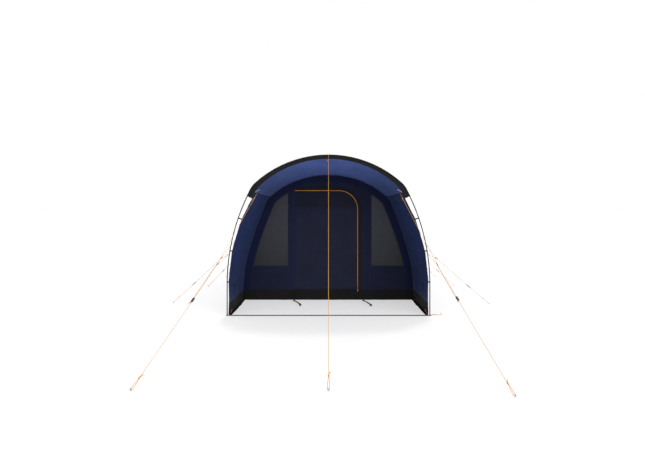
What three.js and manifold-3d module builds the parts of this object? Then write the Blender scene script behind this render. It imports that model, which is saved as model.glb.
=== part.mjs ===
// Tunnel tent with an open porch: four pole hoops carried in black sleeves, a sewn fly, a front
// wall with a D-shaped door and two windows, a hanging inner tent, and nine pegged guy lines.
// Millimetres. +Z is up, the porch faces -Y, and the ground is z = 0.
import * as THREE from 'three';
import { mergeVertices } from 'three/addons/utils/BufferGeometryUtils.js';
import Module from 'manifold-3d';

const wasm = await Module();
wasm.setup();

// ---- Driving dimensions ----
const POLE_RADIUS = 6.5;
const CLOTH = 3; // thickness given to every sheet of cloth
const GAP = 0.5; // clearance between pieces that touch
const SKIRT_HEIGHT = 150;

// The front hoop's centre line: a round top, a bent elbow, a flatter side and a straight foot.
const CROWN_HEIGHT = 2056;
const HALF_WIDTH = 1299;
const TOP_RADIUS = 1400;
const TOP_SWEEP = THREE.MathUtils.degToRad(44);
const STRAIGHT_FOOT = 400;

// Stations along the tent. The outline is the front hoop's, scaled to each station's half width
// and height and narrowed by its pinch at mid height; inset is how far the cloth lies inside the
// pole's centre line.
const STATIONS = [
  { name: 'front', y: -2070, halfWidth: 1299, height: 2056, inset: 60, pinch: 0 },
  { name: 'door', y: -1240, halfWidth: 1299, height: 1886, inset: 13, pinch: 0.08 },
  { name: 'middle', y: -70, halfWidth: 1299, height: 1886, inset: 13, pinch: 0.08 },
  { name: 'rear', y: 880, halfWidth: 1270, height: 1712, inset: 13, pinch: 0.08 },
  { name: 'end', y: 2070, halfWidth: 1150, height: 340, inset: 13, pinch: 0 },
];
const [FRONT, DOOR, MIDDLE, REAR, END] = STATIONS;
const PINCH_SPAN = 1.3; // a pinch is widest at half this share of the hoop's height
const FRONT_FOOT_INSET = 16; // the porch's front edge closes in on the pole towards the ground

const SLEEVE_PAST_ELBOW = 150;
const SLEEVE_WALL = 1.7;
const SEAM_ARCS = [1140, 1030]; // from the crown to the porch roof's seam, front and door hoops
const TAB_ARC = 1135; // where the upper legs of the front guys are sewn to the front sleeve
const CLIP_HEIGHTS = [1250, 830, 430];
const STRAP_WIDTH = 40;
const STRAP_THICKNESS = 3;

// The front wall and its D-shaped door. Heights are above the ground, x is from the middle.
const WALL_Y = DOOR.y + 3;
const DOORWAY = { left: -500, right: 430, bottom: 166, top: 1630, corner: 275 };
const WINDOW_BOTTOM = 510;
const WINDOW_MARGIN = 105; // from the wall's arched edge to the window's
const WINDOW_LEFT_EDGE = -602;
const WINDOW_RIGHT_EDGE = 638;

// The inner tent hangs inside the fly, behind the middle hoop.
const INNER_INSET = 100;
const INNER_FRONT_Y = MIDDLE.y + 30;
const INNER_BACK_Y = 1900;
const INNER_DOOR = { left: -420, right: 380, bottom: 220, top: 1450, corner: 330 };
const TUB_HEIGHT = 110;

const CORD_RADIUS = 2;
const PEG_RADIUS = 2.5;

// Guy lines: where each leaves the tent, where its legs meet, and its peg.
const GUYS = [
  { name: 'front_centre', starts: [[0, -2084, 2058]], peg: [0, -4120, 0] },
  { name: 'front_left', starts: [[-914, -2074, 1568], [-1255, -2082, 806]],
    ring: [-1232, -2780, 751], peg: [-1493, -4120, 0], runner: 0.36 },
  { name: 'front_right', starts: [[914, -2074, 1568], [1255, -2082, 806]],
    ring: [1194, -2804, 755], peg: [1365, -4215, 0], runner: 0.34 },
  { name: 'door_left', starts: [[-936, -1240, 1506], [-1179, -1240, 852]],
    ring: [-1586, -1318, 631], peg: [-2246, -1420, 0], runner: 0.57 },
  { name: 'door_right', starts: [[936, -1240, 1506], [1179, -1240, 852]],
    ring: [1591, -1345, 632], peg: [2294, -1495, 0], runner: 0.61 },
  { name: 'middle_left', starts: [[-936, -70, 1506], [-1179, -70, 852]],
    ring: [-1530, -142, 620], peg: [-2100, -255, 0], runner: 0.57 },
  { name: 'middle_right', starts: [[936, -70, 1506], [1179, -70, 852]],
    ring: [1560, -120, 620], peg: [2210, -194, 0], runner: 0.58 },
  { name: 'rear_left', starts: [[-927, 880, 1340]], peg: [-2040, 700, 0] },
  { name: 'rear_right', starts: [[927, 880, 1340]], peg: [2116, 680, 0] },
];
const RUNNER = { length: 60, width: 22, thickness: 10, hole: 6.4 };

// ---- The outline that every hoop and sheet follows ----
const ELBOW_ARC = TOP_RADIUS * TOP_SWEEP;
const ELBOW_X = TOP_RADIUS * Math.sin(TOP_SWEEP);
const ELBOW_Z = CROWN_HEIGHT - TOP_RADIUS * (1 - Math.cos(TOP_SWEEP));
const SIDE_RUN = HALF_WIDTH - ELBOW_X;
const SIDE_RISE = ELBOW_Z - STRAIGHT_FOOT;
const SIDE_RADIUS = (SIDE_RUN ** 2 + SIDE_RISE ** 2) / (2 * SIDE_RUN);
const SIDE_SWEEP = Math.asin(SIDE_RISE / SIDE_RADIUS);
const STRAIGHT_ARC = ELBOW_ARC + SIDE_RADIUS * SIDE_SWEEP;
const FOOT_ARC = STRAIGHT_ARC + STRAIGHT_FOOT;
const SLEEVE_ARC = ELBOW_ARC + SLEEVE_PAST_ELBOW;

// Point and outward angle of the front hoop at an arc length from its crown, right half.
function rightOutline(arc) {
  if (arc <= ELBOW_ARC) {
    const turn = arc / TOP_RADIUS;
    const drop = TOP_RADIUS * (1 - Math.cos(turn));
    return { x: TOP_RADIUS * Math.sin(turn), z: CROWN_HEIGHT - drop, turn };
  }
  if (arc <= STRAIGHT_ARC) {
    const rise = (STRAIGHT_ARC - arc) / SIDE_RADIUS;
    const x = HALF_WIDTH - SIDE_RADIUS * (1 - Math.cos(rise));
    return { x, z: STRAIGHT_FOOT + SIDE_RADIUS * Math.sin(rise), turn: Math.PI / 2 - rise };
  }
  return { x: HALF_WIDTH, z: FOOT_ARC - arc, turn: Math.PI / 2 };
}

// A station's values at any y, straight between the stations.
function stationAt(y) {
  const last = STATIONS.length - 2;
  const found = STATIONS.findIndex((station, i) => i <= last && y <= STATIONS[i + 1].y);
  const i = found < 0 ? last : found;
  const [a, b] = [STATIONS[i], STATIONS[i + 1]];
  const t = (y - a.y) / (b.y - a.y);
  return {
    wide: THREE.MathUtils.lerp(a.halfWidth, b.halfWidth, t) / HALF_WIDTH,
    high: THREE.MathUtils.lerp(a.height, b.height, t) / CROWN_HEIGHT,
    inset: THREE.MathUtils.lerp(a.inset, b.inset, t),
    pinch: THREE.MathUtils.lerp(a.pinch, b.pinch, t),
  };
}

// The point at an arc length (negative on the left) and an inset from the poles' surface line.
function outlinePoint(y, arc, inset) {
  const { wide, high, pinch } = stationAt(y);
  const point = rightOutline(Math.abs(arc));
  const rate = Math.PI / (PINCH_SPAN * CROWN_HEIGHT);
  const narrowed = wide * (1 - pinch * Math.sin(rate * point.z) ** 2);
  const lean = wide * point.x * pinch * rate * Math.sin(2 * rate * point.z);
  const [across, up] = [Math.sin(point.turn), Math.cos(point.turn)];
  const normal = new THREE.Vector2(high * across, lean * across + narrowed * up);
  normal.setLength(inset);
  const x = point.x * narrowed - normal.x;
  return new THREE.Vector3(arc < 0 ? -x : x, y, point.z * high - normal.y);
}

// How far inside the front pole the porch's front edge lies: a full web down to the sleeve's end,
// then closer and closer to the pole.
function frontInset(arc) {
  const past = Math.max(0, Math.abs(arc) - SLEEVE_ARC) / (FOOT_ARC - SLEEVE_ARC);
  return THREE.MathUtils.lerp(FRONT_FOOT_INSET, FRONT.inset, (1 - past) ** 3);
}

function clothInset(y, arc) {
  const share = THREE.MathUtils.clamp((DOOR.y - y) / (DOOR.y - FRONT.y), 0, 1);
  return stationAt(y).inset + (frontInset(arc) - FRONT.inset) * share;
}

const clothPoint = (y, arc, depth) => outlinePoint(y, arc, clothInset(y, arc) + depth);

// The arc length at which a falling measure of the right-hand outline reaches a value.
function arcWhere(measure, value) {
  let low = 0;
  let high = FOOT_ARC;
  for (let i = 0; i < 40; i += 1) {
    const middle = (low + high) / 2;
    if (measure(middle) > value) low = middle;
    else high = middle;
  }
  return (low + high) / 2;
}

const arcAtHeight = (y, z) => arcWhere((arc) => stationAt(y).high * rightOutline(arc).z, z);

// Arc lengths that poles, sleeves and clips share, so that their facets line up.
const GRID = [];
for (let i = 0; i <= 8; i += 1) GRID.push((ELBOW_ARC * i) / 8);
const CLIP_ARCS = CLIP_HEIGHTS.map((height) => arcAtHeight(FRONT.y, height));
let above = SLEEVE_ARC;
for (const arc of CLIP_ARCS) {
  GRID.push(above, (above + arc) / 2, arc - 12, arc);
  above = arc + 12;
}
GRID.push(above);
const SIGNED_GRID = [...GRID, ...GRID.filter((arc) => arc > 0).map((arc) => -arc)];

function gridBetween(from, to) {
  const inside = SIGNED_GRID.filter((arc) => arc > from + 5 && arc < to - 5);
  return [from, ...inside.sort((a, b) => a - b), to];
}

// ---- Solids ----
function solidOf(geometry) {
  geometry.deleteAttribute('normal');
  geometry.deleteAttribute('uv');
  const merged = mergeVertices(geometry, 1e-3);
  const vertProperties = new Float32Array(merged.attributes.position.array);
  const triVerts = new Uint32Array(merged.index.array);
  return new wasm.Manifold(new wasm.Mesh({ numProp: 3, vertProperties, triVerts }));
}

function geometryOf(solid) {
  const mesh = solid.getMesh();
  const geometry = new THREE.BufferGeometry();
  geometry.setAttribute('position', new THREE.BufferAttribute(mesh.vertProperties, 3));
  geometry.setIndex(new THREE.BufferAttribute(mesh.triVerts, 1));
  return geometry;
}

// A section drawn in (y, outward) and swept along the hoop at y, through a list of arc lengths,
// as far inside the hoop as follow(arc) says.
function sweep(section, hoopY, arcs, follow = () => 0) {
  const steps = arcs.length - 1;
  const settings = { steps, depth: steps, bevelEnabled: false, curveSegments: 3 };
  const geometry = new THREE.ExtrudeGeometry(section, settings);
  const position = geometry.attributes.position;
  for (let i = 0; i < position.count; i += 1) {
    const arc = arcs[Math.round(position.getZ(i))];
    const point = outlinePoint(hoopY, arc, follow(arc) - position.getY(i));
    position.setXYZ(i, point.x, hoopY + position.getX(i), point.z);
  }
  return geometry;
}

// A rectangle in (y, outward).
function strip(y0, y1, inset0, inset1) {
  const corners = [[y0, inset0], [y1, inset0], [y1, inset1], [y0, inset1]];
  return new THREE.Shape(corners.map(([y, inset]) => new THREE.Vector2(y, -inset)));
}

// A strip that follows one hoop, between two arc lengths.
function hoopStrip(hoopY, [y0, y1], [inset0, inset1], from, to, follow) {
  return sweep(strip(y0, y1, inset0, inset1), hoopY, gridBetween(from, to), follow);
}

function pole(hoopY, from, to) {
  const section = new THREE.Shape().absarc(0, 0, POLE_RADIUS, 0, Math.PI * 2);
  return sweep(section, hoopY, gridBetween(from, to));
}

// Arc lengths that run through a list of knots, with a number of even steps to each knot.
function throughKnots(knots, steps) {
  const between = (i) => Array.from({ length: steps[i] },
    (unused, k) => THREE.MathUtils.lerp(knots[i], knots[i + 1], (k + 1) / steps[i]));
  return [knots[0], ...steps.flatMap((unused, i) => between(i))];
}

// A sheet of cloth from y0 to y1 through the arc lengths that arcsAt(y) lists. Both faces are cut
// into the same triangles, so that the sheet keeps its thickness where it twists, and so are
// its long edges, so that two sheets can meet along one.
function clothSheet(y0, y1, arcsAt, { depth = 0, divisions = 1 } = {}) {
  const across = arcsAt(y0).length - 1;
  const points = [];
  for (const inset of [depth, depth + CLOTH]) {
    for (let row = 0; row <= divisions; row += 1) {
      const y = THREE.MathUtils.lerp(y1, y0, row / divisions);
      for (const arc of arcsAt(y)) points.push(clothPoint(y, arc, inset));
    }
  }
  const below = points.length / 2;
  const at = (column, row) => row * (across + 1) + column;
  const outer = [...new THREE.PlaneGeometry(1, 1, across, divisions).index.array];
  const inner = outer.map((corner) => corner + below).reverse();
  const edge = [];
  for (let row = 0; row < divisions; row += 1) {
    const [p, q] = [at(0, row), at(0, row + 1)];
    edge.push(q, p, p + below, q, p + below, q + below);
    const [r, t] = [at(across, row), at(across, row + 1)];
    edge.push(r, t, r + below, t, t + below, r + below);
  }
  for (let column = 0; column < across; column += 1) {
    const [p, q] = [at(column, divisions), at(column + 1, divisions)];
    edge.push(q, p, p + below, q, p + below, q + below);
    const [r, t] = [at(column, 0), at(column + 1, 0)];
    edge.push(r, t, r + below, t, t + below, r + below);
  }
  const geometry = new THREE.BufferGeometry().setFromPoints(points);
  geometry.setIndex([...outer, ...inner, ...edge]);
  return geometry;
}

// A cloth sheet over the whole arch. edge(y) is its right-hand edge's arc length, and it runs
// over the crown to the same arc on the left.
function archSheet(y0, y1, edge, { sideSteps = 6, ...settings } = {}) {
  const arcsAt = (y) => {
    const elbow = Math.min(ELBOW_ARC, edge(y) - 20);
    return throughKnots([-edge(y), -elbow, elbow, edge(y)], [sideSteps, 16, sideSteps]);
  };
  return clothSheet(y0, y1, arcsAt, settings);
}

// A cloth sheet on one side only, from the upper(y) to the lower(y) arc length.
function sideSheet(side, y0, y1, upper, lower) {
  const arcsAt = (y) => {
    const elbow = Math.max(ELBOW_ARC, upper(y) + 20);
    const arcs = throughKnots([upper(y), elbow, lower(y)], [1, 6]);
    return side < 0 ? arcs.reverse().map((arc) => -arc) : arcs;
  };
  return clothSheet(y0, y1, arcsAt, { divisions: PORCH_DIVISIONS });
}

// A flat plate of cloth standing across the tent, drawn in (x, z), from y to y + thickness.
function wallPlate(shape, y, thickness = CLOTH) {
  const settings = { depth: thickness, bevelEnabled: false, curveSegments: 8 };
  const geometry = new THREE.ExtrudeGeometry(shape, settings);
  geometry.rotateX(Math.PI / 2);
  geometry.translate(0, y + thickness, 0);
  return geometry;
}

function box(from, to) {
  const size = to.map((value, i) => value - from[i]);
  const geometry = new THREE.BoxGeometry(...size);
  geometry.translate(...from.map((value, i) => value + size[i] / 2));
  return geometry;
}

// The arched outline of a wall across the tent at y, above a height, as points in (x, z).
function archPoints(y, inset, base) {
  const end = arcWhere((arc) => outlinePoint(y, arc, inset).z, base);
  return gridBetween(-end, end).map((arc) => {
    const point = outlinePoint(y, arc, inset);
    return new THREE.Vector2(point.x, point.z);
  });
}

// ---- Poles, sleeves, clips ----
const POLE_FOOT = FOOT_ARC - STRAP_THICKNESS - GAP;
const JOINT_ARC = ELBOW_ARC - 60; // where a leg's bent top plugs into the arch

const frontArch = () => pole(FRONT.y, -JOINT_ARC, JOINT_ARC);
const frontLeg = (side) => (side < 0
  ? pole(FRONT.y, -POLE_FOOT, -JOINT_ARC - GAP)
  : pole(FRONT.y, JOINT_ARC + GAP, POLE_FOOT));
const wholeHoop = (station) => pole(station.y, -POLE_FOOT, POLE_FOOT);

// A pocket of black cloth round the pole. On the front hoop a web joins it to the porch roof,
// with a tab each side that the front guys are sewn to.
function poleSleeve(station, web) {
  const inside = POLE_RADIUS + 0.9;
  const outside = inside + SLEEVE_WALL;
  const strips = (y, inset, past) => solidOf(
    hoopStrip(station.y, y, inset, -SLEEVE_ARC - past, SLEEVE_ARC + past));
  let sleeve = strips([-outside, outside], [-outside, outside], 0);
  if (web > 0) {
    sleeve = sleeve.add(strips([-CLOTH / 2, CLOTH / 2], [inside, web], 0));
    for (const arc of [-TAB_ARC, TAB_ARC]) {
      const tab = hoopStrip(station.y, [-CLOTH / 2, CLOTH / 2], [web - 2, 90], arc - 12, arc + 12);
      sleeve = sleeve.add(solidOf(tab));
    }
  }
  return geometryOf(sleeve.subtract(strips([-inside, inside], [-inside, inside], 1)));
}

// The hem tape down one front edge of the porch with its three pole clips.
function clipTape(side) {
  const from = SLEEVE_ARC + 20;
  const to = arcAtHeight(FRONT.y, 25);
  const strips = (y, inset, a, b, follow) => {
    const ends = side < 0 ? [-b, -a] : [a, b];
    return solidOf(hoopStrip(FRONT.y, y, inset, ...ends, follow));
  };
  let tape = strips([-7, 10], [-1, 2], from, to, frontInset);
  for (const arc of CLIP_ARCS) {
    const arm = strips([-1.5, 1.5], [9, frontInset(arc)], arc - 6, arc + 6);
    const ring = strips([-10, 10], [-10, 10], arc - 9, arc + 9);
    const bore = strips([-7.4, 7.4], [-7.4, 7.4], arc - 12, arc + 12);
    const mouth = strips([-4.5, 4.5], [-12, 0], arc - 12, arc + 12);
    tape = tape.add(arm).add(ring).subtract(bore).subtract(mouth);
  }
  return geometryOf(tape);
}

const baseStrap = () => box(
  [-HALF_WIDTH - 14, FRONT.y - STRAP_WIDTH / 2, 0],
  [HALF_WIDTH + 14, FRONT.y + STRAP_WIDTH / 2, STRAP_THICKNESS]);

// ---- The fly ----
const skirtArc = (y) => arcAtHeight(y, SKIRT_HEIGHT);
const PORCH_START = FRONT.y + 11;
const PORCH_STOP = DOOR.y - GAP;
const PORCH_DIVISIONS = 3;

const seamArc = (y) => THREE.MathUtils.mapLinear(y, FRONT.y, DOOR.y, ...SEAM_ARCS);

const porchRoof = () => archSheet(PORCH_START, PORCH_STOP, (y) => seamArc(y) - GAP,
  { sideSteps: 1, divisions: PORCH_DIVISIONS });
const porchSide = (side) => sideSheet(side, PORCH_START, PORCH_STOP, seamArc, skirtArc);
const flyBody = () => joinSheets(DOOR, MIDDLE, REAR);
const TAIL_DIVISIONS = 5;

// The sloping back of the fly and the low wall that closes it above the skirt.
function flyEnd() {
  const slope = archSheet(REAR.y + GAP, END.y, skirtArc, { divisions: TAIL_DIVISIONS });
  const wall = new THREE.Shape(archPoints(END.y, END.inset + 1, SKIRT_HEIGHT + GAP));
  return geometryOf(solidOf(slope).add(solidOf(wallPlate(wall, END.y - CLOTH))));
}

// One sheet over several bays, each bay straight between its hoops.
function joinSheets(...stations) {
  let sheet = null;
  for (let i = 1; i < stations.length; i += 1) {
    const bay = solidOf(archSheet(stations[i - 1].y, stations[i].y, skirtArc));
    sheet = sheet ? sheet.add(bay) : bay;
  }
  return geometryOf(sheet);
}

// The black band round the foot, from the skirt height down to the ground.
function sideSkirt(side) {
  const start = FRONT.y + STRAP_WIDTH / 2 + GAP;
  const stops = [start, DOOR.y, MIDDLE.y, REAR.y + GAP, END.y];
  let skirt = null;
  for (let i = 1; i < stops.length; i += 1) {
    const arcsAt = (y) => {
      const top = arcAtHeight(y, SKIRT_HEIGHT - GAP);
      const arcs = Array.from({ length: 5 }, (unused, k) => top + ((FOOT_ARC - top) * k) / 4);
      return side < 0 ? arcs.reverse().map((arc) => -arc) : arcs;
    };
    const settings = { divisions: i === 4 ? TAIL_DIVISIONS : 1 };
    const solid = solidOf(clothSheet(stops[i - 1], stops[i], arcsAt, settings));
    skirt = skirt ? skirt.add(solid) : solid;
  }
  return geometryOf(skirt);
}

// The black band across the tail.
function rearSkirt() {
  const half = clothPoint(END.y, FOOT_ARC, 0).x;
  return box([-half, END.y + GAP, 0], [half, END.y + GAP + CLOTH, SKIRT_HEIGHT]);
}

// ---- The front wall ----
const WALL_INSET = DOOR.inset + CLOTH + 4; // clear of the fly's straight facets

// A D-shaped doorway, hinged on its straight left edge, grown by a margin all round.
function doorShape({ left, right, bottom, top, corner }, margin) {
  const shape = new THREE.Shape();
  shape.moveTo(left - margin, bottom - margin);
  shape.lineTo(right + margin, bottom - margin);
  shape.absarc(right - corner, top - corner, corner + margin, 0, Math.PI / 2);
  shape.lineTo(left - margin, top + margin);
  return shape;
}

const doorwayShape = (margin) => doorShape(DOORWAY, margin);

// One window: a straight inner edge and sill, and an outer edge that follows the wall's arch.
function windowShape(edge, grow) {
  const side = Math.sign(edge);
  const inset = WALL_INSET + WINDOW_MARGIN - grow;
  const inner = edge - side * grow;
  const sill = WINDOW_BOTTOM - grow;
  const low = arcWhere((arc) => outlinePoint(WALL_Y, arc, inset).z, sill);
  const high = arcWhere((arc) => -outlinePoint(WALL_Y, arc, inset).x, -Math.abs(inner));
  const arch = gridBetween(high, low).map((arc) => {
    const point = outlinePoint(WALL_Y, arc, inset);
    return new THREE.Vector2(side * point.x, point.z);
  });
  return new THREE.Shape([new THREE.Vector2(inner, sill), ...arch]);
}

function cutWall(outline, y, openings) {
  const wall = solidOf(wallPlate(outline, y));
  const cut = (solid, opening) => solid.subtract(solidOf(wallPlate(opening, y - 1, CLOTH + 2)));
  return geometryOf(openings.reduce(cut, wall));
}

const frontWall = () => cutWall(
  new THREE.Shape(archPoints(WALL_Y, WALL_INSET, SKIRT_HEIGHT + GAP)), WALL_Y,
  [doorwayShape(0), windowShape(WINDOW_LEFT_EDGE, 0), windowShape(WINDOW_RIGHT_EDGE, 0)]);

const windowPane = (edge) => wallPlate(windowShape(edge, -GAP), WALL_Y + 0.5, CLOTH - 1);

const frontDoor = () => wallPlate(doorwayShape(-3), WALL_Y);

function wallSkirt() {
  const half = outlinePoint(WALL_Y, skirtArc(WALL_Y), WALL_INSET).x;
  return box([-half, WALL_Y, 0], [half, WALL_Y + CLOTH, SKIRT_HEIGHT]);
}

// A flat band that runs over the door's top, round its corner and down its free side.
function doorBand(near, far) {
  const { left, right, bottom, top, corner } = DOORWAY;
  const shape = new THREE.Shape();
  shape.moveTo(left, top + near);
  shape.absarc(right - corner, top - corner, corner + near, Math.PI / 2, 0, true);
  shape.lineTo(right + near, bottom);
  shape.lineTo(right + far, bottom);
  shape.absarc(right - corner, top - corner, corner + far, 0, Math.PI / 2);
  shape.lineTo(left, top + far);
  return shape;
}

const ZIP = { near: 1, far: 11, thickness: 2 };
const ZIP_Y = WALL_Y - GAP - ZIP.thickness;
const SLIDER = { width: 9, height: 20, thickness: 6 };
const TAB = { width: 10, length: 42, thickness: 3, over: 10 };
const doorZip = () => wallPlate(doorBand(ZIP.near, ZIP.far), ZIP_Y, ZIP.thickness);
const rainFlap = () => wallPlate(doorBand(ZIP.far + 1, 58), ZIP_Y, ZIP.thickness);

function zipSlider() {
  const x = DOORWAY.right + (ZIP.near + ZIP.far) / 2;
  const back = ZIP_Y - GAP;
  return box(
    [x - SLIDER.width / 2, back - SLIDER.thickness, DOORWAY.bottom + 2],
    [x + SLIDER.width / 2, back, DOORWAY.bottom + 2 + SLIDER.height]);
}

function zipPuller() {
  const x = DOORWAY.right + (ZIP.near + ZIP.far) / 2;
  const back = ZIP_Y - GAP - SLIDER.thickness - 0.7;
  const top = DOORWAY.bottom + TAB.over;
  return box(
    [x - TAB.width / 2, back - TAB.thickness, top - TAB.length],
    [x + TAB.width / 2, back, top]);
}

// ---- The inner tent ----
const innerArc = (y) => arcWhere(
  (arc) => clothPoint(y, arc, INNER_INSET + CLOTH).z, TUB_HEIGHT + GAP);

function innerTent() {
  const shell = (y0, y1, divisions) => solidOf(
    archSheet(y0, y1, innerArc, { depth: INNER_INSET, divisions }));
  const back = new THREE.Shape(
    archPoints(INNER_BACK_Y, END.inset + INNER_INSET + 1, TUB_HEIGHT + GAP));
  return geometryOf(shell(INNER_FRONT_Y, REAR.y, 1)
    .add(shell(REAR.y, INNER_BACK_Y, 4))
    .add(solidOf(wallPlate(back, INNER_BACK_Y - CLOTH))));
}

const INNER_WALL_Y = INNER_FRONT_Y - CLOTH - GAP;

const innerFront = () => cutWall(
  new THREE.Shape(archPoints(INNER_FRONT_Y, MIDDLE.inset + INNER_INSET, TUB_HEIGHT + GAP)),
  INNER_WALL_Y, [doorShape(INNER_DOOR, 0)]);

const innerDoor = () => wallPlate(doorShape(INNER_DOOR, -3), INNER_WALL_Y);

// The inner tent's floor, turned up all round into a shallow tub.
function innerGroundsheet() {
  const half = (y) => clothPoint(y, FOOT_ARC, INNER_INSET).x;
  const plan = (shrink) => new THREE.Shape([
    new THREE.Vector2(-half(INNER_FRONT_Y) + shrink, INNER_WALL_Y + shrink),
    new THREE.Vector2(half(INNER_FRONT_Y) - shrink, INNER_WALL_Y + shrink),
    new THREE.Vector2(half(INNER_BACK_Y) - shrink, INNER_BACK_Y - shrink),
    new THREE.Vector2(-half(INNER_BACK_Y) + shrink, INNER_BACK_Y - shrink),
  ]);
  const tub = new THREE.ExtrudeGeometry(plan(0), { depth: TUB_HEIGHT, bevelEnabled: false });
  const room = new THREE.ExtrudeGeometry(plan(CLOTH), { depth: TUB_HEIGHT, bevelEnabled: false });
  room.translate(0, 0, CLOTH);
  return geometryOf(solidOf(tub).subtract(solidOf(room)));
}

// ---- Guy lines, runners, pegs ----
const roundSection = (radius) => new THREE.Shape().absarc(0, 0, radius, 0, Math.PI * 2);

function cord(from, to, radius = CORD_RADIUS) {
  const path = new THREE.LineCurve3(from, to);
  const steps = Math.max(2, Math.round(from.distanceTo(to) / 300));
  const settings = { steps, curveSegments: 4, extrudePath: path };
  return new THREE.ExtrudeGeometry(roundSection(radius), settings);
}

// The pegged end stops beside the peg's hook, a little above the ground.
function guyEnd(guy, from) {
  const peg = new THREE.Vector3(...guy.peg).setZ(9);
  const back = new THREE.Vector3().subVectors(from, peg).setZ(0).setLength(PEG_RADIUS + 5);
  return peg.add(back);
}

function guyLine(guy) {
  const starts = guy.starts.map((point) => new THREE.Vector3(...point));
  if (!guy.ring) return cord(starts[0], guyEnd(guy, starts[0]));
  const ring = new THREE.Vector3(...guy.ring);
  let line = solidOf(new THREE.SphereGeometry(CORD_RADIUS * 2, 8, 6)).translate(...guy.ring);
  for (const start of starts) line = line.add(solidOf(cord(start, ring)));
  return geometryOf(line.add(solidOf(cord(ring, guyEnd(guy, ring)))));
}

// A flat plastic runner threaded on its line, which passes through it end to end.
function runner(guy) {
  const ring = new THREE.Vector3(...guy.ring);
  const end = guyEnd(guy, ring);
  const { length, width, thickness, hole } = RUNNER;
  const block = (x, y, z) => solidOf(new THREE.BoxGeometry(x, y, z));
  const plate = block(width, thickness, length).subtract(block(hole, hole, length + 2));
  const geometry = geometryOf(plate);
  const place = new THREE.Object3D();
  place.position.lerpVectors(ring, end, guy.runner);
  place.up.set(0, 0, 1);
  place.lookAt(end);
  place.updateMatrix();
  return geometry.applyMatrix4(place.matrix);
}

// The part of a steel peg that stands above the ground: a stem bent over into a hook.
function peg([x, y], away) {
  const lean = new THREE.Vector3(...away).setZ(0).normalize();
  const spot = (out, z) => new THREE.Vector3(x, y, z).addScaledVector(lean, out);
  const path = new THREE.CatmullRomCurve3([spot(0, 0), spot(0, 10), spot(1, 18), spot(6, 23),
    spot(13, 21), spot(16, 15)]);
  path.curveType = 'catmullrom';
  const settings = { steps: 6, curveSegments: 3, extrudePath: path };
  const hook = solidOf(new THREE.ExtrudeGeometry(roundSection(PEG_RADIUS), settings));
  const soil = solidOf(box([x - 40, y - 40, -20], [x + 40, y + 40, 0]));
  return geometryOf(hook.subtract(soil));
}

function guyPeg(guy) {
  const from = new THREE.Vector3(...(guy.ring ?? guy.starts[0]));
  return peg(guy.peg, new THREE.Vector3(...guy.peg).sub(from).toArray());
}

// The webbing tail from the right-hand front foot out to its own peg.
const FOOT_PEG = [1446, FRONT.y + 26];
const footStrap = () => box(
  [HALF_WIDTH + 15, FRONT.y + 6, 0], [FOOT_PEG[0] - 6, FRONT.y + 28, STRAP_THICKNESS]);

// ---- Materials and assembly ----
const MATERIALS = {
  pole: { color: 0x1a1a1a, roughness: 0.35, metalness: 0 },
  black: { color: 0x171716, roughness: 0.85, metalness: 0 },
  roof: { color: 0x36426f, roughness: 0.7, metalness: 0 },
  side: { color: 0x1c2747, roughness: 0.7, metalness: 0 },
  wall: { color: 0x1d2034, roughness: 0.75, metalness: 0 },
  window: { color: 0x31353e, roughness: 0.3, metalness: 0 },
  inner: { color: 0x4d5360, roughness: 0.9, metalness: 0 },
  floor: { color: 0x3b3f45, roughness: 0.6, metalness: 0 },
  zip: { color: 0xc0761c, roughness: 0.6, metalness: 0 },
  cord: { color: 0xe0962b, roughness: 0.8, metalness: 0 },
  webbing: { color: 0xd9661c, roughness: 0.8, metalness: 0 },
  plastic: { color: 0x101010, roughness: 0.45, metalness: 0 },
  steel: { color: 0xb8bcc0, roughness: 0.35, metalness: 1 },
};

const group = new THREE.Group();

function addPart(name, geometry, material) {
  const mesh = new THREE.Mesh(geometry, new THREE.MeshStandardMaterial(MATERIALS[material]));
  mesh.name = name;
  group.add(mesh);
}

addPart('front_hoop_arch', frontArch(), 'pole');
addPart('front_hoop_left_leg', frontLeg(-1), 'pole');
addPart('front_hoop_right_leg', frontLeg(1), 'pole');
for (const station of [DOOR, MIDDLE, REAR]) {
  addPart(`${station.name}_hoop`, wholeHoop(station), 'pole');
}
for (const station of [FRONT, DOOR, MIDDLE, REAR]) {
  const web = station === FRONT ? FRONT.inset + 1 : 0;
  addPart(`${station.name}_sleeve`, poleSleeve(station, web), 'black');
}
addPart('clip_tape_left', clipTape(-1), 'black');
addPart('clip_tape_right', clipTape(1), 'black');
addPart('base_strap', baseStrap(), 'black');
addPart('foot_strap', footStrap(), 'webbing');
addPart('foot_strap_peg', peg(FOOT_PEG, [1, 0, 0]), 'webbing');

addPart('fly_porch_roof', porchRoof(), 'roof');
addPart('fly_porch_left', porchSide(-1), 'side');
addPart('fly_porch_right', porchSide(1), 'side');
addPart('fly_body', flyBody(), 'roof');
addPart('fly_end', flyEnd(), 'side');
addPart('skirt_left', sideSkirt(-1), 'black');
addPart('skirt_right', sideSkirt(1), 'black');
addPart('skirt_rear', rearSkirt(), 'black');

addPart('front_wall', frontWall(), 'wall');
addPart('front_wall_skirt', wallSkirt(), 'black');
addPart('window_left', windowPane(WINDOW_LEFT_EDGE), 'window');
addPart('window_right', windowPane(WINDOW_RIGHT_EDGE), 'window');
addPart('front_door', frontDoor(), 'wall');
addPart('rain_flap', rainFlap(), 'black');
addPart('door_zip', doorZip(), 'zip');
addPart('zip_slider', zipSlider(), 'plastic');
addPart('zip_puller', zipPuller(), 'zip');

addPart('inner_tent', innerTent(), 'inner');
addPart('inner_front', innerFront(), 'inner');
addPart('inner_door', innerDoor(), 'inner');
addPart('inner_groundsheet', innerGroundsheet(), 'floor');

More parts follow.
